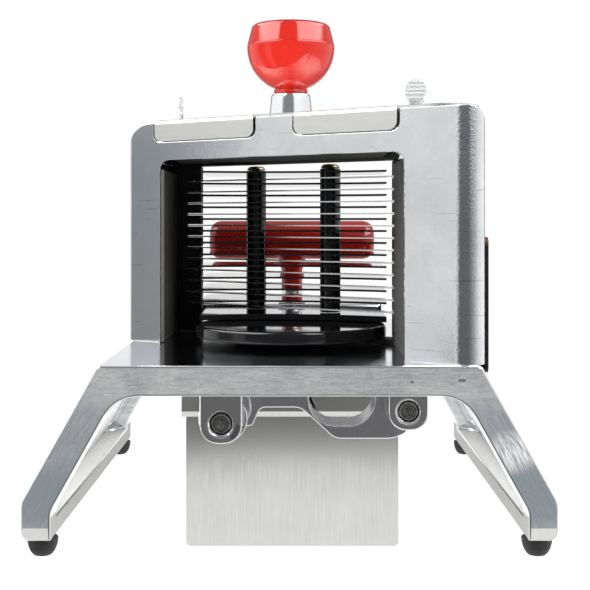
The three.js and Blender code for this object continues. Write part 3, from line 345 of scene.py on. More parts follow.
def floor_finish(height):
    material = bpy.data.materials.new("pale_floor")
    material.use_nodes = True
    tree = material.node_tree
    tree.nodes.clear()
    ray = add_node(tree, "ShaderNodeLightPath").outputs
    place = add_node(tree, "ShaderNodeTexCoord").outputs["Object"]
    axes = add_node(tree, "ShaderNodeSeparateXYZ", Vector=place).outputs
    room = low_levels(tree, compass(tree, axes["X"], math_node(tree, "SUBTRACT", axes["Y"], ROOM_CENTRE_Y)))
    away = vector_node(tree, "DISTANCE", place, (0, TABLE_CENTRE_Y, height)).outputs["Value"]
    edge = (TABLE_RADIUS - TABLE_EDGE, TABLE_RADIUS + TABLE_EDGE)
    mirrored_level = laid_over(tree, room, remap(tree, away, *edge, 1, 0, smooth=True), TABLE_LEVEL)
    mirrored_floor = add_node(tree, "ShaderNodeEmission", Strength=mirrored_level).outputs[0]
    matt = add_node(tree, "ShaderNodeBsdfDiffuse", Color=(FLOOR_GREY, FLOOR_GREY, FLOOR_GREY, 1)).outputs[0]
    seen_glow = math_node(tree, "MULTIPLY", ray["Is Camera Ray"], FLOOR_GLOW)
    lift = math_node(tree, "MULTIPLY", ray["Is Diffuse Ray"], FLOOR_LIFT)
    glow = add_node(tree, "ShaderNodeEmission", Strength=math_node(tree, "ADD", seen_glow, lift)).outputs[0]
    both = add_node(tree, "ShaderNodeAddShader", _0=matt, _1=glow).outputs[0]
    floor_seen = add_node(tree, "ShaderNodeMixShader", _0=ray["Is Glossy Ray"], _1=both, _2=mirrored_floor)
    add_node(tree, "ShaderNodeOutputMaterial", Surface=floor_seen.outputs[0])
    return material


print("floor finish ready")

# %% [markdown]
# The floor itself is one large square. It isn't part of the slicer, so it joins none of its bodies.

# %% Floor
FLOOR_GAP = 0.3 * MM
FLOOR_REACH = 6.0
floor_height = model_box[0][2] - FLOOR_GAP


def pale_floor():
    shape = bmesh.new()
    bmesh.ops.create_grid(shape, x_segments=1, y_segments=1, size=FLOOR_REACH)
    bmesh.ops.translate(shape, verts=shape.verts, vec=(0, 0, floor_height))
    mesh = bpy.data.meshes.new("floor")
    shape.to_mesh(mesh)
    shape.free()
    floor = bpy.data.objects.new("floor", mesh)
    bpy.context.scene.collection.objects.link(floor)
    mesh.materials.append(floor_finish(floor_height))


pale_floor()
print("floor height in mm:", round(floor_height / MM, 2))

# %% [markdown]
# Sanded, brushed and cast metal all show noise of some kind, stretched one way or not at all.
# One group makes that noise, with its fineness, its stretch and its waviness as inputs,
# and each finish places it with its own values.

# %% Grain group
def effect_group(name, inputs):
    group = bpy.data.node_groups.new(name, "ShaderNodeTree")
    for label, kind, value in inputs:
        socket = group.interface.new_socket(label, in_out="INPUT", socket_type=kind)
        socket.default_value = value
    group.interface.new_socket("Value", in_out="OUTPUT", socket_type="NodeSocketFloat")
    return group, group.nodes.new("NodeGroupInput").outputs


def grain_group():
    inputs = [
        ("Vector", "NodeSocketVector", (0, 0, 0)),
        ("Stretch", "NodeSocketVector", (1, 1, 1)),
        ("Scale", "NodeSocketFloat", 1000.0),
        ("Contrast", "NodeSocketFloat", 2.0),
        ("Waviness", "NodeSocketFloat", 0.0),
    ]
    group, given = effect_group("grain", inputs)
    stretched = vector_node(group, "MULTIPLY", given["Vector"], given["Stretch"]).outputs[0]
    pattern = {"Scale": given["Scale"], "Distortion": given["Waviness"], "Detail": 3.0, "Roughness": 0.6}
    noise = add_node(group, "ShaderNodeTexNoise", Vector=stretched, **pattern)
    centred = math_node(group, "SUBTRACT", noise.outputs["Fac"], 0.5)
    spread = math_node(group, "MULTIPLY", centred, given["Contrast"])
    add_node(group, "NodeGroupOutput", Value=math_node(group, "ADD", spread, 0.5, clamp=True))
    return group


GRAIN = grain_group()


def grain(tree, place, scale, stretch=(1, 1, 1), contrast=2.0, waviness=0.0):
    pattern = {"Scale": scale, "Stretch": stretch, "Contrast": contrast, "Waviness": waviness}
    node = add_node(tree, "ShaderNodeGroup", {"node_tree": GRAIN}, Vector=place, **pattern)
    return node.outputs["Value"]


print("inputs of the grain group:", len(GRAIN.interface.items_tree) - 1)

# %% [markdown]
# Use leaves a few stray scratches. They are the rare peaks of a noise that is stretched a great deal,
# so a second group keeps only what rises above a limit.

# %% Scratches group
SCRATCH_LIMIT = 0.67
SCRATCH_SHARPNESS = 14.0


def scratches_group():
    inputs = [
        ("Vector", "NodeSocketVector", (0, 0, 0)),
        ("Stretch", "NodeSocketVector", (40, 40, 900)),
        ("Limit", "NodeSocketFloat", SCRATCH_LIMIT),
    ]
    group, given = effect_group("scratches", inputs)
    stretched = vector_node(group, "MULTIPLY", given["Vector"], given["Stretch"]).outputs[0]
    pattern = {"Scale": 1.0, "Detail": 2.0, "Distortion": 0.4}
    noise = add_node(group, "ShaderNodeTexNoise", Vector=stretched, **pattern)
    above = math_node(group, "SUBTRACT", noise.outputs["Fac"], given["Limit"])
    mask = math_node(group, "MULTIPLY", above, SCRATCH_SHARPNESS, clamp=True)
    add_node(group, "NodeGroupOutput", Value=mask)
    return group


SCRATCHES = scratches_group()


def scratches(tree, place, stretch):
    pattern = {"Stretch": stretch, "Limit": SCRATCH_LIMIT}
    node = add_node(tree, "ShaderNodeGroup", {"node_tree": SCRATCHES}, Vector=place, **pattern)
    return node.outputs["Value"]


print("effect groups:", len(bpy.data.node_groups))

# %% [markdown]
# Every finish starts the same way: a Principled shader, its plain values, and the piece's own coordinates.
# Every finish also ends the same way: a colour, a roughness and a bump are joined to the shader.
# In between, patterns are added up with a share for each, and small spots are picked by their place.

# %% Helpers for finishes
def finish_material(name, metallic, roughness):
    material = bpy.data.materials.new(name)
    material.use_nodes = True
    tree = material.node_tree
    shader = tree.nodes["Principled BSDF"]
    shader.inputs["Metallic"].default_value = metallic
    shader.inputs["Roughness"].default_value = roughness
    place = add_node(tree, "ShaderNodeTexCoord").outputs["Object"]
    return material, tree, shader, place


def join_up(tree, shader, colour, roughness, height, depth):
    tree.links.new(colour, shader.inputs["Base Color"])
    tree.links.new(roughness, shader.inputs["Roughness"])
    bump = add_node(tree, "ShaderNodeBump", Height=height, Distance=depth)
    tree.links.new(bump.outputs["Normal"], shader.inputs["Normal"])
    return bump


def weighted(tree, *parts):
    total = 0.0
    for value, share in parts:
        total = math_node(tree, "ADD", total, math_node(tree, "MULTIPLY", value, share), clamp=True)
    return total


def near(tree, place, centre, reach, soft):
    away = vector_node(tree, "SUBTRACT", place, centre).outputs[0]
    scaled = vector_node(tree, "DIVIDE", away, reach).outputs[0]
    distance = vector_node(tree, "LENGTH", scaled).outputs["Value"]
    return remap(tree, distance, 1.0 - soft, 1.0 + soft, 1.0, 0.0, smooth=True)


print("finish helpers ready")

# %% [markdown]
# The table's front rim and legs are sanded by hand: short strokes that follow each leg and run level
# along the rim, over soft clouds. The legs carry painted shade, bluish and darkest low down, and one spot
# on the right leg carries a painted highlight. Folding the picture at the middle, by taking the size of x
# without its sign, lets one turned set of strokes serve both legs.

# %% Strokes on rim and legs
LEG_TURN = math.radians(26.5)
LEG_TOP = 68 * MM
LEG_BLEND = 6 * MM
RIM_STROKES = (130, 500, 1000)
LEG_STROKES = (1250, 500, 110)


def sanding_strokes(tree, place):
    axes = add_node(tree, "ShaderNodeSeparateXYZ", Vector=place).outputs
    outward = math_node(tree, "ABSOLUTE", axes["X"])
    folded = add_node(tree, "ShaderNodeCombineXYZ", X=outward, Y=axes["Y"], Z=axes["Z"]).outputs[0]
    settings = {"rotation_type": "Y_AXIS"}
    along_leg = add_node(tree, "ShaderNodeVectorRotate", settings, Vector=folded, Angle=LEG_TURN).outputs[0]
    on_rim = grain(tree, place, 1.0, RIM_STROKES, 2.8, 1.3)
    on_legs = grain(tree, along_leg, 1.0, LEG_STROKES, 2.8, 1.1)
    leg_mask = remap(tree, axes["Z"], LEG_TOP - LEG_BLEND, LEG_TOP + LEG_BLEND, 1, 0, smooth=True)
    strokes = add_node(tree, "ShaderNodeMix", {"data_type": "FLOAT"}, _0=leg_mask, _2=on_rim, _3=on_legs)
    return strokes.outputs[0], leg_mask, axes["Z"]


print("strokes turn with the legs by", round(math.degrees(LEG_TURN), 1), "degrees")

# %% [markdown]
# The strokes, the clouds and a fine speckle together shade the sanded metal. It is only partly metallic,
# because a sanded surface scatters much of its light. Two small dark marks on the rim come from use.

# %% Sanded finish of the table
SANDED_DARK = (0.20, 0.21, 0.22)
SANDED_LIGHT = (0.60, 0.60, 0.60)
PAINTED_LEG_SHADE = (0.20, 0.235, 0.27)
PAINTED_LEG_SHADE_SHARE = 0.45
PAINTED_SHADE_HEIGHTS = (17 * MM, 40 * MM)
PAINTED_HIGHLIGHT = (0.97, 0.97, 0.97)
PAINTED_HIGHLIGHT_CENTRE = (97.0 * MM, -260.3 * MM, 48.0 * MM)
PAINTED_HIGHLIGHT_REACH = (9 * MM, 4 * MM, 8 * MM)
MARK_DARK = (0.05, 0.05, 0.05)
MARKS = (((75.2, -260.3, 79.2), (1.9, 3.0, 0.65)), ((53.4, -260.3, 78.5), (0.75, 3.0, 0.6)))


def marks_of_use(tree, place):
    marks = 0.0
    for centre, reach in MARKS:
        one = near(tree, place, [v * MM for v in centre], [v * MM for v in reach], 0.25)
        marks = math_node(tree, "MAXIMUM", one, marks)
    return marks


def sanded_table():
    material, tree, shader, place = finish_material("sanded_table", 0.55, 0.3)
    strokes, leg_mask, height = sanding_strokes(tree, place)
    clouds = grain(tree, place, 34, contrast=2.2, waviness=0.6)
    speckle = grain(tree, place, 1300, contrast=2.4)
    shade = weighted(tree, (clouds, 0.42), (strokes, 0.42), (speckle, 0.22))
    colour = mixed(tree, shade, SANDED_DARK, SANDED_LIGHT)
    # Painted shade: the legs are mixed towards a bluish dark grey, and more so low down.
    colour = mixed(tree, math_node(tree, "MULTIPLY", leg_mask, PAINTED_LEG_SHADE_SHARE), colour, PAINTED_LEG_SHADE)
    low_leg_shade = window(tree, height, *PAINTED_SHADE_HEIGHTS, 4 * MM)
    cloudy_leg_shade = math_node(tree, "MULTIPLY", low_leg_shade, remap(tree, clouds, 0, 1, 0.35, 0.75))
    colour = mixed(tree, cloudy_leg_shade, colour, PAINTED_LEG_SHADE)
    # Painted highlight: a near-white patch on the right leg, laid along the strokes.
    painted_highlight = near(tree, place, PAINTED_HIGHLIGHT_CENTRE, PAINTED_HIGHLIGHT_REACH, 0.4)
    colour = mixed(tree, math_node(tree, "MULTIPLY", painted_highlight, strokes), colour, PAINTED_HIGHLIGHT)
    marks = marks_of_use(tree, place)
    colour = mixed(tree, math_node(tree, "MULTIPLY", marks, 0.75), colour, MARK_DARK)
    height = math_node(tree, "SUBTRACT", strokes, marks)
    join_up(tree, shader, colour, remap(tree, shade, 0, 1, 0.44, 0.28), height, 0.006 * MM)
    return material


table_metal = sanded_table()
print("nodes in the table's finish:", len(table_metal.node_tree.nodes))

# %% [markdown]
# The blade housing is buffed: bright, a little wavy, with a fine orange peel that speckles the edges
# of what it mirrors. A very shallow bump at two sizes does this. The colour hardly changes,
# and only a few scratches cross it. The wheel couldn't follow the housing's rounded right edge,
# so from there on the peel is left stronger.

# %% Buffed finish
PEEL_WHERE_BUFFED = 0.15


def buffed_aluminium(name, light, dark, rough, peel, wave, scratch, peel_start=None):
    material, tree, shader, place = finish_material(name, 1.0, rough[1])
    clouds = grain(tree, place, 42, contrast=2.0, waviness=0.5)
    pores = grain(tree, place, 1300, contrast=2.0)
    shade = weighted(tree, (clouds, 0.7), (pores, 0.3))
    colour = mixed(tree, shade, dark, light)
    lines = math_node(tree, "MULTIPLY", scratches(tree, place, scratch), 0.5)
    colour = mixed(tree, lines, colour, [0.7 * part for part in dark])
    skin = grain(tree, place, 1000, contrast=2.4)
    if peel_start is not None:
        sideways = add_node(tree, "ShaderNodeSeparateXYZ", Vector=place).outputs["X"]
        strength = remap(tree, sideways, peel_start - MM, peel_start, PEEL_WHERE_BUFFED, 1.0)
        skin = math_node(tree, "MULTIPLY", skin, strength)
    bump = join_up(tree, shader, colour, remap(tree, shade, 0, 1, rough[1], rough[0]), skin, peel)
    waves = add_node(tree, "ShaderNodeBump", Height=grain(tree, place, 70, contrast=1.6), Distance=wave)
    tree.links.new(waves.outputs["Normal"], bump.inputs["Normal"])
    return material


print("buffed finish ready")

# %% [markdown]
# The housing, the lugs, the carriage, the deck and the post are buffed in the same way, each to its own
# degree. Rounded edges are the brightest, because hands and cloths rub them most.

# %% Buffed pieces
ROUNDED_EDGE_WIDTH = 13.2 * MM
face_metal = buffed_aluminium(
    "buffed_housing",
    light=(0.93, 0.935, 0.94),
    dark=(0.73, 0.74, 0.77),
    rough=(0.08, 0.14),
    peel=0.050 * MM,
    wave=0.014 * MM,
    scratch=(45, 45, 700),
    peel_start=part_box("blade_housing")[1].x - ROUNDED_EDGE_WIDTH,
)
SMALL_SCRATCHES = (600, 600, 900)
small = {"wave": 0.05 * MM, "scratch": SMALL_SCRATCHES}
lug_metal = buffed_aluminium(
    "buffed_lugs", (0.62, 0.60, 0.64), (0.46, 0.45, 0.49), rough=(0.12, 0.22), peel=0.006 * MM, **small
)
carriage_metal = buffed_aluminium(
    "polished_carriage", (0.92, 0.91, 0.93), (0.74, 0.73, 0.77), rough=(0.22, 0.34), peel=0.004 * MM, **small
)
fine = {"peel": 0.003 * MM, "wave": 0.02 * MM}
deck_metal = buffed_aluminium(
    "polished_deck", (0.70, 0.72, 0.75), (0.58, 0.61, 0.65), rough=(0.10, 0.17), scratch=(30, 900, 30), **fine
)
edge_metal = buffed_aluminium(
    "bright_edges",
    (0.96, 0.96, 0.96),
    (0.88, 0.88, 0.89),
    rough=(0.07, 0.12),
    scratch=SMALL_SCRATCHES,
    **fine,
)
turned = {"peel": 0.002 * MM, "wave": 0.03 * MM, "scratch": (50, 50, 900)}
post_metal = buffed_aluminium(
    "polished_post", (0.94, 0.95, 0.97), (0.86, 0.87, 0.90), rough=(0.12, 0.20), **turned
)
print("buffed finishes: 6")

# %% [markdown]
# Inside the legs the casting is left as it comes from the mould, pale and softly shining.
# It scatters more light than it mirrors, so it is only partly metallic. The same skin, with other values,
# serves the rails and pads of the legs, the housing's dull edges, and the cover's sheared edges.

# %% Cast finishes
def cast_aluminium(name, light, dark, metallic, roughness, depth):
    material, tree, shader, place = finish_material(name, metallic, roughness)
    skin = grain(tree, place, 420, contrast=2.2)
    clouds = grain(tree, place, 60, contrast=1.8)
    colour = mixed(tree, weighted(tree, (skin, 0.5), (clouds, 0.5)), dark, light)
    uneven = remap(tree, skin, 0, 1, roughness + 0.06, roughness - 0.06)
    join_up(tree, shader, colour, uneven, skin, depth)
    return material


web_metal = cast_aluminium("cast_inside", (0.97, 0.97, 0.96), (0.90, 0.90, 0.89), 0.15, 0.34, 0.015 * MM)
rail_metal = cast_aluminium("cast_rails", (0.42, 0.42, 0.41), (0.35, 0.35, 0.34), 0.3, 0.34, 0.01 * MM)
pad_metal = cast_aluminium("machined_pads", (0.56, 0.56, 0.55), (0.48, 0.48, 0.47), 0.4, 0.34, 0.01 * MM)
dull_edge = cast_aluminium("dull_edges", (0.66, 0.67, 0.68), (0.58, 0.59, 0.60), 0.9, 0.42, 0.005 * MM)
sheared_edge = cast_aluminium(
    "sheared_edges", (0.17, 0.17, 0.165), (0.12, 0.12, 0.115), metallic=0.1, roughness=0.6, depth=0.002 * MM
)
print("cast finishes: 5")

# %% [markdown]
# Rolled sheet is brushed in one direction: very long thin lines, so the noise is stretched many times
# along them. The lines are a bump too, and that spreads a reflection across them
# and keeps it sharp along them. Ground and turned steel are made the same way, with other stretches.

# %% Sheet and steel finishes
EVEN = (60, 60, 60)
TURNED = (900, 900, 900)


def brushed_metal(name, colour, stretch, rough, depth=0.01 * MM, drop=0.82, metallic=1.0):
    material, tree, shader, place = finish_material(name, metallic, rough[1])
    lines = grain(tree, place, 1.0, stretch, 2.4)
    shade = weighted(tree, (lines, 0.5), (grain(tree, place, 45, contrast=1.4), 0.5))
    colours = mixed(tree, shade, [drop * part for part in colour], colour)
    join_up(tree, shader, colours, remap(tree, shade, 0, 1, rough[1], rough[0]), lines, depth)
    return material


sheet_metal = brushed_metal("brushed_plate", (0.90, 0.90, 0.87), (1400, 60, 30), (0.16, 0.24), 0.012 * MM)
# Painted reflection: the streaky bluish colour of the pocket ends stands in for the mirrored room. The ribs
# themselves are a bump.
end_streak_reflection_metal = brushed_metal("streaked_ends_painted_reflection", (0.92, 0.96, 0.98), (40, 40, 420), (0.12, 0.22), 0.03 * MM, 0.42)
cover_metal = brushed_metal("brushed_cover", (0.84, 0.84, 0.81), (40, 40, 3500), (0.30, 0.42))
smooth = {"depth": 0.001 * MM}
grip_metal = brushed_metal(
    "grip_steel", (0.84, 0.85, 0.85), EVEN, (0.2, 0.3), drop=0.95, metallic=0.45, **smooth
)
# Painted shade: a darker copy of the grip steel, for the sunk grooves and the neck.
painted_shade_metal = brushed_metal("painted_shade_steel", (0.55, 0.56, 0.57), EVEN, (0.3, 0.4), metallic=0.5, **smooth)
rod_metal = brushed_metal("ground_steel", (0.82, 0.82, 0.83), (2500, 60, 2500), (0.14, 0.24))
blade_metal = brushed_metal("blade_steel", (0.84, 0.85, 0.86), (60, 1500, 60), (0.22, 0.3), **smooth)
screw_metal = brushed_metal("turned_steel", (0.80, 0.81, 0.82), TURNED, (0.15, 0.3))
bronze_metal = brushed_metal("dark_bronze", (0.34, 0.29, 0.17), TURNED, (0.28, 0.42))
print("sheet and steel finishes: 9")

# %% [markdown]
# The ends of the guide rods are turned: fine rings round the centre hole, on a dark, uneven colour.
# The rings follow the distance from the rod's own axis.

# %% Turned rod ends
RING_TURNS = 5200.0


def turned_end(name, axis_x, axis_z):
    material, tree, shader, place = finish_material(name, 1.0, 0.3)
    axes = add_node(tree, "ShaderNodeSeparateXYZ", Vector=place).outputs
    sideways = math_node(tree, "SUBTRACT", axes["X"], axis_x)
    upwards = math_node(tree, "SUBTRACT", axes["Z"], axis_z)
    flat = add_node(tree, "ShaderNodeCombineXYZ", X=sideways, Y=upwards).outputs[0]
    away = vector_node(tree, "LENGTH", flat).outputs["Value"]
    rings = math_node(tree, "SINE", math_node(tree, "MULTIPLY", away, RING_TURNS))
    uneven_tone = grain(tree, place, 500, contrast=2.2)
    shade = math_node(tree, "ADD", math_node(tree, "MULTIPLY", rings, 0.3), uneven_tone, clamp=True)
    colour = mixed(tree, shade, (0.10, 0.095, 0.085), (0.50, 0.49, 0.46))
    join_up(tree, shader, colour, remap(tree, uneven_tone, 0, 1, 0.42, 0.22), rings, 0.03 * MM)
    return material


rod_ends = {}
for side in ("left", "right"):
    low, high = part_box("guide_rod_" + side)
    rod_ends[side] = turned_end("turned_end_" + side, (low.x + high.x) / 2, (low.z + high.z) / 2)
print("turned ends:", len(rod_ends))

# %% [markdown]
# The plastics are glossy. Moulded parts are never quite even, so the roughness drifts a little
# and a very shallow bump bends the reflections. The linings and combs are duller, with a fine grain.

# %% Plastic finishes
def moulded_plastic(name, colour, rough, depth=0.01 * MM, scale=120, share=0.85, shine=0.5):
    material, tree, shader, place = finish_material(name, 0.0, rough[1])
    shader.inputs["Specular IOR Level"].default_value = shine
    drift = grain(tree, place, scale, contrast=1.4)
    colours = mixed(tree, drift, [share * part for part in colour], colour)
    join_up(tree, shader, colours, remap(tree, drift, 0, 1, *rough), drift, depth)
    return material


red_plastic = moulded_plastic("red_plastic", (0.50, 0.018, 0.010), (0.05, 0.10), 0.004 * MM, 150)
black_plastic = moulded_plastic("black_plastic", (0.008, 0.008, 0.009), (0.03, 0.07))
matt_black = moulded_plastic("matt_black", (0.012, 0.012, 0.012), (0.45, 0.6), 0.02 * MM, 700)
grained = {"depth": 0.02 * MM, "scale": 900, "share": 0.7}
lining_plastic = moulded_plastic("lining_plastic", (0.085, 0.083, 0.078), (0.6, 0.75), shine=0.2, **grained)
comb_plastic = moulded_plastic("comb_plastic", (0.018, 0.017, 0.016), (0.5, 0.65), shine=0.25, **grained)
foot_rubber = moulded_plastic("foot_rubber", (0.014, 0.014, 0.015), (0.38, 0.55), 0.04 * MM, 800, 0.7)
print("plastic finishes: 6")

# %% [markdown]
# The guard beside the opening is black, with a band of red film along its upper edge.

# %% Guard finish
FILM_HEIGHT = 138 * MM
FILM_EDGE = 0.4 * MM
FILM_RED = (0.085, 0.026, 0.020)


def guard_finish():
    material, tree, shader, place = finish_material("guard_plastic", 0.0, 0.3)
    height = add_node(tree, "ShaderNodeSeparateXYZ", Vector=place).outputs["Z"]
    film = remap(tree, height, FILM_HEIGHT - FILM_EDGE, FILM_HEIGHT + FILM_EDGE)
    drift = grain(tree, place, 300, contrast=1.6)
    black = mixed(tree, drift, (0.007, 0.007, 0.008), (0.012, 0.012, 0.013))
    colour = mixed(tree, film, black, FILM_RED)
    join_up(tree, shader, colour, remap(tree, drift, 0, 1, 0.16, 0.28), drift, 0.01 * MM)
    return material


guard_plastic = guard_finish()
print("materials made:", len(bpy.data.materials))

# %% [markdown]
# The solids come as loose triangles with knife-sharp edges. So each solid gets a merged copy,
# in which its flat areas become single faces again. Where two curved surfaces were cut against each other,
# very short edges are left, and they would stop the rounding. Such an edge is merged into one point,
# but only where the faces around it stay flat.

# %% Merged copies of the solids
WELD = 0.002 * MM
FLAT = math.radians(0.5)
FLATNESS = 0.05 * MM


def step_off_faces(start, end):
    others = [face for face in start.link_faces if end not in face.verts[:]]
    steps = [abs((end.co - face.calc_center_median()).dot(face.normal)) for face in others]
    return max(steps, default=0.0)


def merge_short_edge(shape, smallest):
    for edge in shape.edges:
        if edge.calc_length() < smallest:
            first, second = edge.verts
            forward = step_off_faces(first, second)
            back = step_off_faces(second, first)
            if min(forward, back) < FLATNESS:
                kept = second.co.copy() if forward <= back else first.co.copy()
                bmesh.ops.pointmerge(shape, verts=[first, second], merge_co=kept)
                return True
    return False


def merged_copy(node, smallest):
    shape = bmesh.new()
    shape.from_mesh(frame["nodes"][node].data)
    bmesh.ops.remove_doubles(shape, verts=shape.verts, dist=WELD)
    bmesh.ops.dissolve_limit(shape, angle_limit=FLAT, verts=shape.verts, edges=shape.edges)
    shape.normal_update()
    while smallest and merge_short_edge(shape, smallest):
        shape.normal_update()
    bmesh.ops.dissolve_limit(shape, angle_limit=FLAT, verts=shape.verts, edges=shape.edges)
    return shape


print("merged copies ready")

# %% [markdown]
# Real castings and sheet have small rounded edges, and those catch the light. A Bevel modifier rounds
# what is sharper than a set angle. A Weighted Normal modifier then lets the large faces decide
# how the surface shades, so the flat areas stay flat right up to their rounded edges.

# %% Dressed pieces
CORNER = 32
finished = []


def placed(shape, name, materials, body, corner=CORNER):
    mesh = bpy.data.meshes.new(name)
    shape.to_mesh(mesh)
    shape.free()
    for material in materials:
        mesh.materials.append(material)
    mesh.shade_smooth()
    mesh.set_sharp_from_angle(angle=math.radians(corner))
    piece = bpy.data.objects.new(name, mesh)
    bpy.context.scene.collection.objects.link(piece)
    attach(piece, body)
    finished.append(piece)
    return piece


def round_edges(piece, width, segments, material_index, clamp):
    rounding = piece.modifiers.new("rounded_edges", "BEVEL")
    rounding.width = width
    rounding.segments = segments
    rounding.limit_method = "ANGLE"
    rounding.angle_limit = math.radians(CORNER)
    rounding.use_clamp_overlap = clamp
    rounding.material = material_index


def flatten_shading(piece):
    shading = piece.modifiers.new("flat_faces", "WEIGHTED_NORMAL")
    shading.mode = "FACE_AREA"
    shading.weight = 100
    shading.keep_sharp = True


def dressed(node, material, slot, edge=0.0, segments=3, chosen=(), edges=None, smallest=0.0):
    shape = merged_copy(node, smallest)
    materials = [material]
    for index, (test, other) in enumerate(chosen, 1):
        materials.append(other)
        for face in shape.faces:
            if test(face):
                face.material_index = index
    if edges:
        materials.append(edges)
    piece = placed(shape, node + "_look", materials, frame["nodes"][node]["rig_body"])
    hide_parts(node)
    if edge:
        round_edges(piece, edge, segments, len(materials) - 1 if edges else -1, not smallest)
    flatten_shading(piece)


print("ready to dress", len(frame["nodes"]), "solids")

# %% [markdown]
# The table is one casting with many finishes. Its top is polished, its front rim and legs are sanded,
# its lugs are buffed, and the pockets inside the legs are left as cast, with ribbed ends that carry a painted
# streaky reflection.
# The pads above the feet are machined, and the rounded edges are bright from handling.
# The faces are picked by where they lie and which way they point.

# %% Faces of the table
DECK_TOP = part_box("base_casting")[1].z
RIM_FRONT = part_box("base_casting")[0].y
LEG_INSIDE = 62 * MM
POCKET_END = -62 * MM
RAIL_TOP = 17 * MM
PAD_TOP = 12 * MM
LUG_TOP = DECK_TOP - 14 * MM
LUG_REACH = 80 * MM
BORE_MARGIN = 1.6 * MM
TURNED_AWAY = 0.12


def is_deck(face):
    return face.normal.z > 0.9 and face.calc_center_median().z > DECK_TOP - 2 * MM


def is_pocket_side(face):
    middle = face.calc_center_median()
    on_leg = abs(middle.x) > LEG_INSIDE and middle.z < DECK_TOP - 4 * MM
    return on_leg and face.normal.x * middle.x < 0 and abs(face.normal.y) < TURNED_AWAY


def is_rail(face):
    return is_pocket_side(face) and face.calc_center_median().z < RAIL_TOP


def is_pocket_end(face):
    middle = face.calc_center_median()
    return abs(middle.x) > LEG_INSIDE and face.normal.y < -TURNED_AWAY and middle.y > POCKET_END


def is_pad(face):
    return face.normal.y < -0.5 and face.calc_center_median().z < PAD_TOP


def is_lug(face):
    middle = face.calc_center_median()
    return abs(middle.x) < LUG_REACH and middle.z < LUG_TOP and middle.y > RIM_FRONT + 3 * MM


def is_bore(face):
    middle = face.calc_center_median()
    for side in ("left", "right"):
        low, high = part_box("guide_rod_" + side)
        away = math.hypot(middle.x - (low.x + high.x) / 2, middle.z - (low.z + high.z) / 2)
        if away < (high.x - low.x) / 2 + BORE_MARGIN:
            return True
    return False


print("deck height in mm:", round(DECK_TOP / MM, 1))

# %% [markdown]
# Now the casting itself. A later test wins over an earlier one where both pick a face.

# %% Table casting
SHORT_EDGE = 0.6 * MM
table_faces = (
    (is_deck, deck_metal),
    (is_pocket_side, web_metal),
    (is_rail, rail_metal),
    (is_pocket_end, end_streak_reflection_metal),
    (is_pad, pad_metal),
    (is_lug, lug_metal),
    (is_bore, edge_metal),
)
casting = {"slot": "cast_aluminium", "smallest": SHORT_EDGE}
dressed("base_casting", table_metal, edge=0.9 * MM, chosen=table_faces, edges=edge_metal, **casting)
print("finishes on the table:", len(finished[-1].data.materials))

# %% [markdown]
# The housing and the sliding carriage are castings too, buffed all over. The carriage has bright
# rounded edges, and the housing's are duller and sharper.
# The carriage carries the pusher on two rods below the table, so only its front shows.

# %% Housing and carriage
dressed("blade_housing", face_metal, edge=0.3 * MM, edges=dull_edge, **casting)
dressed("slide_carriage", carriage_metal, edge=0.6 * MM, edges=edge_metal, **casting)
print("castings dressed:", len(finished))

# %% [markdown]
# Sheet pieces have thin, almost sharp edges. The stop plate is brushed from top to bottom,
# the cover from side to side, and the cover's edges are dark and matt where the sheet was sheared.

# %% Sheet pieces
dressed("table_stop", sheet_metal, "brushed_sheet", 0.35 * MM, edges=edge_metal)
dressed("top_cover", cover_metal, "brushed_sheet", 0.45 * MM, edges=sheared_edge)
dressed("side_guard", guard_plastic, "black_plastic", 0.3 * MM)
print("sheet pieces dressed: 3")

# %% [markdown]
# Dull plastic lines the opening and holds the blades: three linings, two combs and two bars.

# %% Linings and combs
for place in ("left", "right", "top"):
    dressed("lining_" + place, lining_plastic, "dark_plastic", 0.3 * MM)
for place in ("left", "right"):
    dressed("comb_" + place, comb_plastic, "dark_plastic", 0.2 * MM)
for place in ("bottom", "top"):
    dressed("cartridge_bar_" + place, comb_plastic, "dark_plastic", 0.3 * MM)
print("pieces so far:", len(finished))

# %% [markdown]
# Twelve blades and twelve fins lie in turns. A blade is ground steel and keeps its keen edge,
# so it isn't rounded. A fin is glossy black, and its thin front edge is all that the camera sees of it.
# The undersides of the lowest fin and the disc are duller, because they were never polished.

# %% Blades and fins
BLADES = 12


def points_down(face):
    return face.normal.z < -0.5


for number in range(1, BLADES + 1):
    dressed("blade_%02d" % number, blade_metal, "steel")
    dressed("pusher_fin_%02d" % number, black_plastic, "black_plastic", 0.15 * MM, segments=2)
undersides = ((points_down, matt_black),)
dressed("pusher_fin_bottom", black_plastic, "black_plastic", 0.3 * MM, chosen=undersides)
dressed("floor_disc", black_plastic, "black_plastic", 0.4 * MM, chosen=undersides)
print("pieces so far:", len(finished))

# %% [markdown]
# The knob and its post are turned shapes, so they are made as on a lathe: half an outline is drawn
# beside the axis and spun round it. The outline is given in millimetres from the bottom of the packed
# solid, and a fine spin gives the gloss a smooth surface to glide over.

# %% Turned pieces
SPIN_STEPS = 96
TURNED_CORNER = 38


def spun(node, name, outline, material):
    low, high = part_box(node)
    axis = Vector(((low.x + high.x) / 2, (low.y + high.y) / 2, low.z))
    shape = bmesh.new()
    corners = [shape.verts.new(axis + Vector((radius, 0, height)) * MM) for radius, height in outline]
    lines = [shape.edges.new(pair) for pair in zip(corners, corners[1:])]
    bmesh.ops.spin(
        shape,
        geom=corners + lines,
        cent=axis,
        axis=(0, 0, 1),
        angle=2 * math.pi,
        steps=SPIN_STEPS,
        use_merge=True,
    )
    bmesh.ops.remove_doubles(shape, verts=shape.verts, dist=WELD)
    bmesh.ops.recalc_face_normals(shape, faces=shape.faces)
    piece = placed(shape, name, [material], frame["nodes"][node]["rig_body"], TURNED_CORNER)
    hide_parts(node)


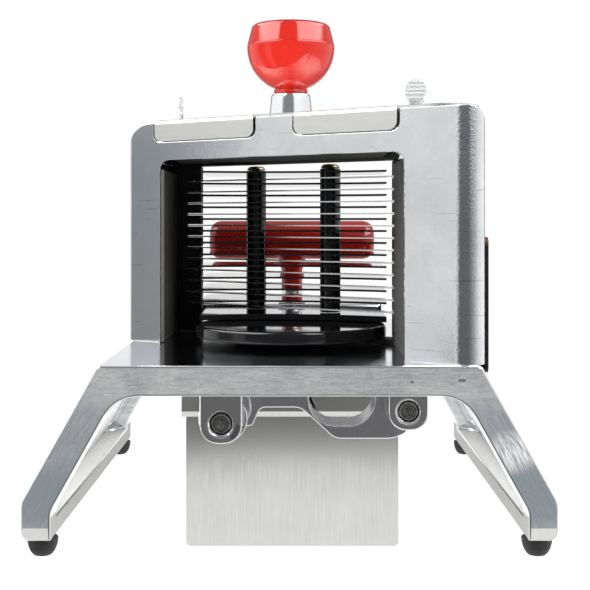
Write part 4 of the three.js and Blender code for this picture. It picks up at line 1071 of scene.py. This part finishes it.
def arc(centre_height, radius, start, end, count, flat=0.0):
    points = []
    for step in range(count + 1):
        share = step / count
        angle = math.radians(start + (end - start) * share)
        out = radius * math.cos(angle) - flat * share * (1 - share)
        points.append((out, centre_height + radius * math.sin(angle)))
    return points


print("spin ready")

# %% [markdown]
# The knob is a ball, cut flat above, on a small bead. Two halves of the mould met just above its middle.
# There a fine groove runs round it, and above the groove the side leans in, which cuts the pale
# windows off. A rounded rim leads over to the flat top.

# %% Red knob
KNOB_RADIUS = 22.65
KNOB_CENTRE = 23.6
SEAM_ANGLE = 3.0
RIM_ANGLE = 24.5
RIM_RADIUS = 2.6
bead = [(0.0, 12.6), (3.8, 12.6), (3.8, 0.0), (7.9, 0.0), (8.5, 0.25)]
bead += [(8.8, 0.75), (8.85, 1.3), (8.6, 1.85), (8.25, 2.2), (8.3, 2.6)]
below_seam = arc(KNOB_CENTRE, KNOB_RADIUS, -66.2, SEAM_ANGLE - 0.5, 40)
seam = [(22.42, 24.88)]
above_seam = arc(KNOB_CENTRE, KNOB_RADIUS - 0.05, SEAM_ANGLE + 0.6, RIM_ANGLE, 14, 1.4)
side_end, rim_height = above_seam[-1]
rim = []
for turn in [math.radians(angle) for angle in range(25, 91, 13)]:
    rim.append((side_end - RIM_RADIUS * (1 - math.cos(turn)), rim_height + RIM_RADIUS * math.sin(turn)))
knob_top = rim[-1][1]
flat_top = [(radius, knob_top + 0.02) for radius in (17.4, 9.0, 0.0)]
knob_outline = bead + below_seam + seam + above_seam + rim + flat_top
spun("knob", "knob_ball", knob_outline, red_plastic)
print("knob height in mm:", round(knob_top, 2))

# %% [markdown]
# The post under the knob is polished and widens slightly towards the cover, with a rounded shoulder.

# %% Knob post
post_outline = [(0.0, 0.0), (11.2, 0.0), (11.4, 0.2), (10.95, 4.0), (10.55, 8.0), (10.25, 11.2)]
post_outline += [(10.1, 11.9), (9.75, 12.5), (9.2, 12.85), (8.6, 12.95)]
post_outline += [(3.5, 13.0), (3.5, 24.7), (0.0, 24.7)]
spun("knob_post", "knob_post_turned", post_outline, post_metal)
print("turned pieces: 2")

# %% [markdown]
# The thumbscrews have flat grips that stand upright. Level grooves across both faces give the fingers
# hold. A disc, made a little higher than wide, is cut into bands at the height of each groove, and the
# narrow bands are sunk and painted darker as shade. A flat neck under it narrows towards the stem, with the
# same painted shade.

# %% Grip of a thumbscrew
GRIP_RADIUS = 4.95 * MM
GRIP_STRETCH = 1.12
GRIP_HALF_HEIGHT = GRIP_RADIUS * GRIP_STRETCH
GRIP_HALF_THICKNESS = 0.75 * MM
NECK_RADIUS = 4.2 * MM
NECK_HEIGHT = 3.6 * MM
NECK_FLATNESS = 0.3
NECK_OVERLAP = 1 * MM
STEM_RADIUS = 2.2 * MM
GROOVE_HALF = 0.28 * MM
GROOVE_DEPTH = 0.3 * MM
GROOVE_SLOPE = 0.08 * MM
GROOVE_HEIGHTS = [step * 1.9 * MM for step in (-2, -1, 0, 1, 2)]


def grip_disc():
    shape = bmesh.new()
    made = bmesh.ops.create_circle(shape, cap_ends=True, segments=48, radius=GRIP_RADIUS)
    bmesh.ops.scale(shape, verts=made["verts"], vec=(1, GRIP_STRETCH, 1))
    turn = Matrix.Rotation(math.radians(90), 3, "X")
    bmesh.ops.rotate(shape, verts=made["verts"], cent=(0, 0, 0), matrix=turn)
    pushed = bmesh.ops.extrude_face_region(shape, geom=shape.faces[:])
    moved = [item for item in pushed["geom"] if isinstance(item, bmesh.types.BMVert)]
    bmesh.ops.translate(shape, verts=moved, vec=(0, 2 * GRIP_HALF_THICKNESS, 0))
    bmesh.ops.translate(shape, verts=shape.verts, vec=(0, -GRIP_HALF_THICKNESS, 0))
    shape.normal_update()
    return shape


def cut_grooves(shape):
    for middle in GROOVE_HEIGHTS:
        for edge in (middle - GROOVE_HALF, middle + GROOVE_HALF):
            everything = shape.verts[:] + shape.edges[:] + shape.faces[:]
            bmesh.ops.bisect_plane(shape, geom=everything, plane_co=(0, 0, edge), plane_no=(0, 0, 1))
    bmesh.ops.recalc_face_normals(shape, faces=shape.faces)
    for middle in GROOVE_HEIGHTS:
        for face in shape.faces[:]:
            flat = abs(face.normal.y) > 0.9
            if flat and abs(face.calc_center_median().z - middle) < GROOVE_HALF:
                bmesh.ops.inset_individual(shape, faces=[face], thickness=GROOVE_SLOPE, depth=-GROOVE_DEPTH)
                # Painted shade: the sunk band takes the darker steel.
                face.material_index = 1


def add_neck(shape):
    made = bmesh.ops.create_cone(
        shape, cap_ends=True, segments=32, radius1=STEM_RADIUS, radius2=NECK_RADIUS, depth=NECK_HEIGHT
    )
    bmesh.ops.scale(shape, verts=made["verts"], vec=(1, NECK_FLATNESS, 1))
    # Painted shade: the neck under the grip takes the darker steel too.
    for face in {face for corner in made["verts"] for face in corner.link_faces}:
        face.material_index = 1
    neck_height = NECK_OVERLAP - GRIP_HALF_HEIGHT - NECK_HEIGHT / 2
    bmesh.ops.translate(shape, verts=made["verts"], vec=(0, 0, neck_height))


print("grip height in mm:", round(2 * GRIP_HALF_HEIGHT / MM, 2))

# %% [markdown]
# Each grip is made at the origin and then moved over its screw's axis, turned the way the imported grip
# stands. Its stem goes down through the cover.

# %% Thumbscrews
GRIP_CORNER = 30


def add_stem(shape, middle, bottom, top):
    made = bmesh.ops.create_cone(
        shape, cap_ends=True, segments=32, radius1=STEM_RADIUS, radius2=STEM_RADIUS, depth=top - bottom
    )
    bmesh.ops.translate(shape, verts=made["verts"], vec=middle + Vector((0, 0, (bottom + top) / 2)))


def thumbscrew(side):
    node = "thumbscrew_" + side
    low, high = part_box(node)
    centre_height = high.z - GRIP_HALF_HEIGHT
    grip = grip_disc()
    cut_grooves(grip)
    add_neck(grip)
    bmesh.ops.translate(grip, verts=grip.verts, vec=(0, 0, centre_height))
    if high.y - low.y > high.x - low.x:
        turn = Matrix.Rotation(math.radians(90), 3, "Z")
        bmesh.ops.rotate(grip, verts=grip.verts, cent=(0, 0, 0), matrix=turn)
    middle = Vector(((low.x + high.x) / 2, (low.y + high.y) / 2, 0))
    bmesh.ops.translate(grip, verts=grip.verts, vec=middle)
    add_stem(grip, middle, low.z, centre_height - GRIP_HALF_HEIGHT - NECK_OVERLAP)
    body = frame["nodes"][node]["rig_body"]
    piece = placed(grip, node + "_grip", [grip_metal, painted_shade_metal], body, GRIP_CORNER)
    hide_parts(node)


for side in ("left", "right"):
    thumbscrew(side)
    low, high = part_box("thumbscrew_" + side)
    print("thumbscrew", side, [round(v / MM, 1) for v in (*low, *high)])

# %% [markdown]
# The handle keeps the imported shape, with its edges rounded more. The rods, bushings, columns and screws
# are small turned pieces that need no more than rounded edges and their own finish.

# %% Handle, rods and small turned pieces
def faces_front(face):
    return face.normal.y < -0.3


dressed("t_handle", red_plastic, "red_plastic", 0.4 * MM)
for side in ("left", "right"):
    dressed("guide_rod_" + side, rod_metal, "steel", 0.25 * MM, chosen=((faces_front, rod_ends[side]),))
    dressed("bushing_" + side, bronze_metal, "bronze", 0.2 * MM)
    dressed("pusher_column_" + side, black_plastic, "black_plastic", 0.3 * MM)
    dressed("column_screw_" + side, bronze_metal, "bronze", 0.3 * MM)
    dressed("stop_bolt_" + side, screw_metal, "steel", 0.3 * MM)
print("pieces so far:", len(finished))

# %% [markdown]
# Four rubber feet carry the slicer.

# %% Feet
for side in ("left", "right"):
    for end in ("front", "rear"):
        dressed("foot_" + end + "_" + side, foot_rubber, "rubber", 0.4 * MM)
print("pieces dressed in all:", len(finished))
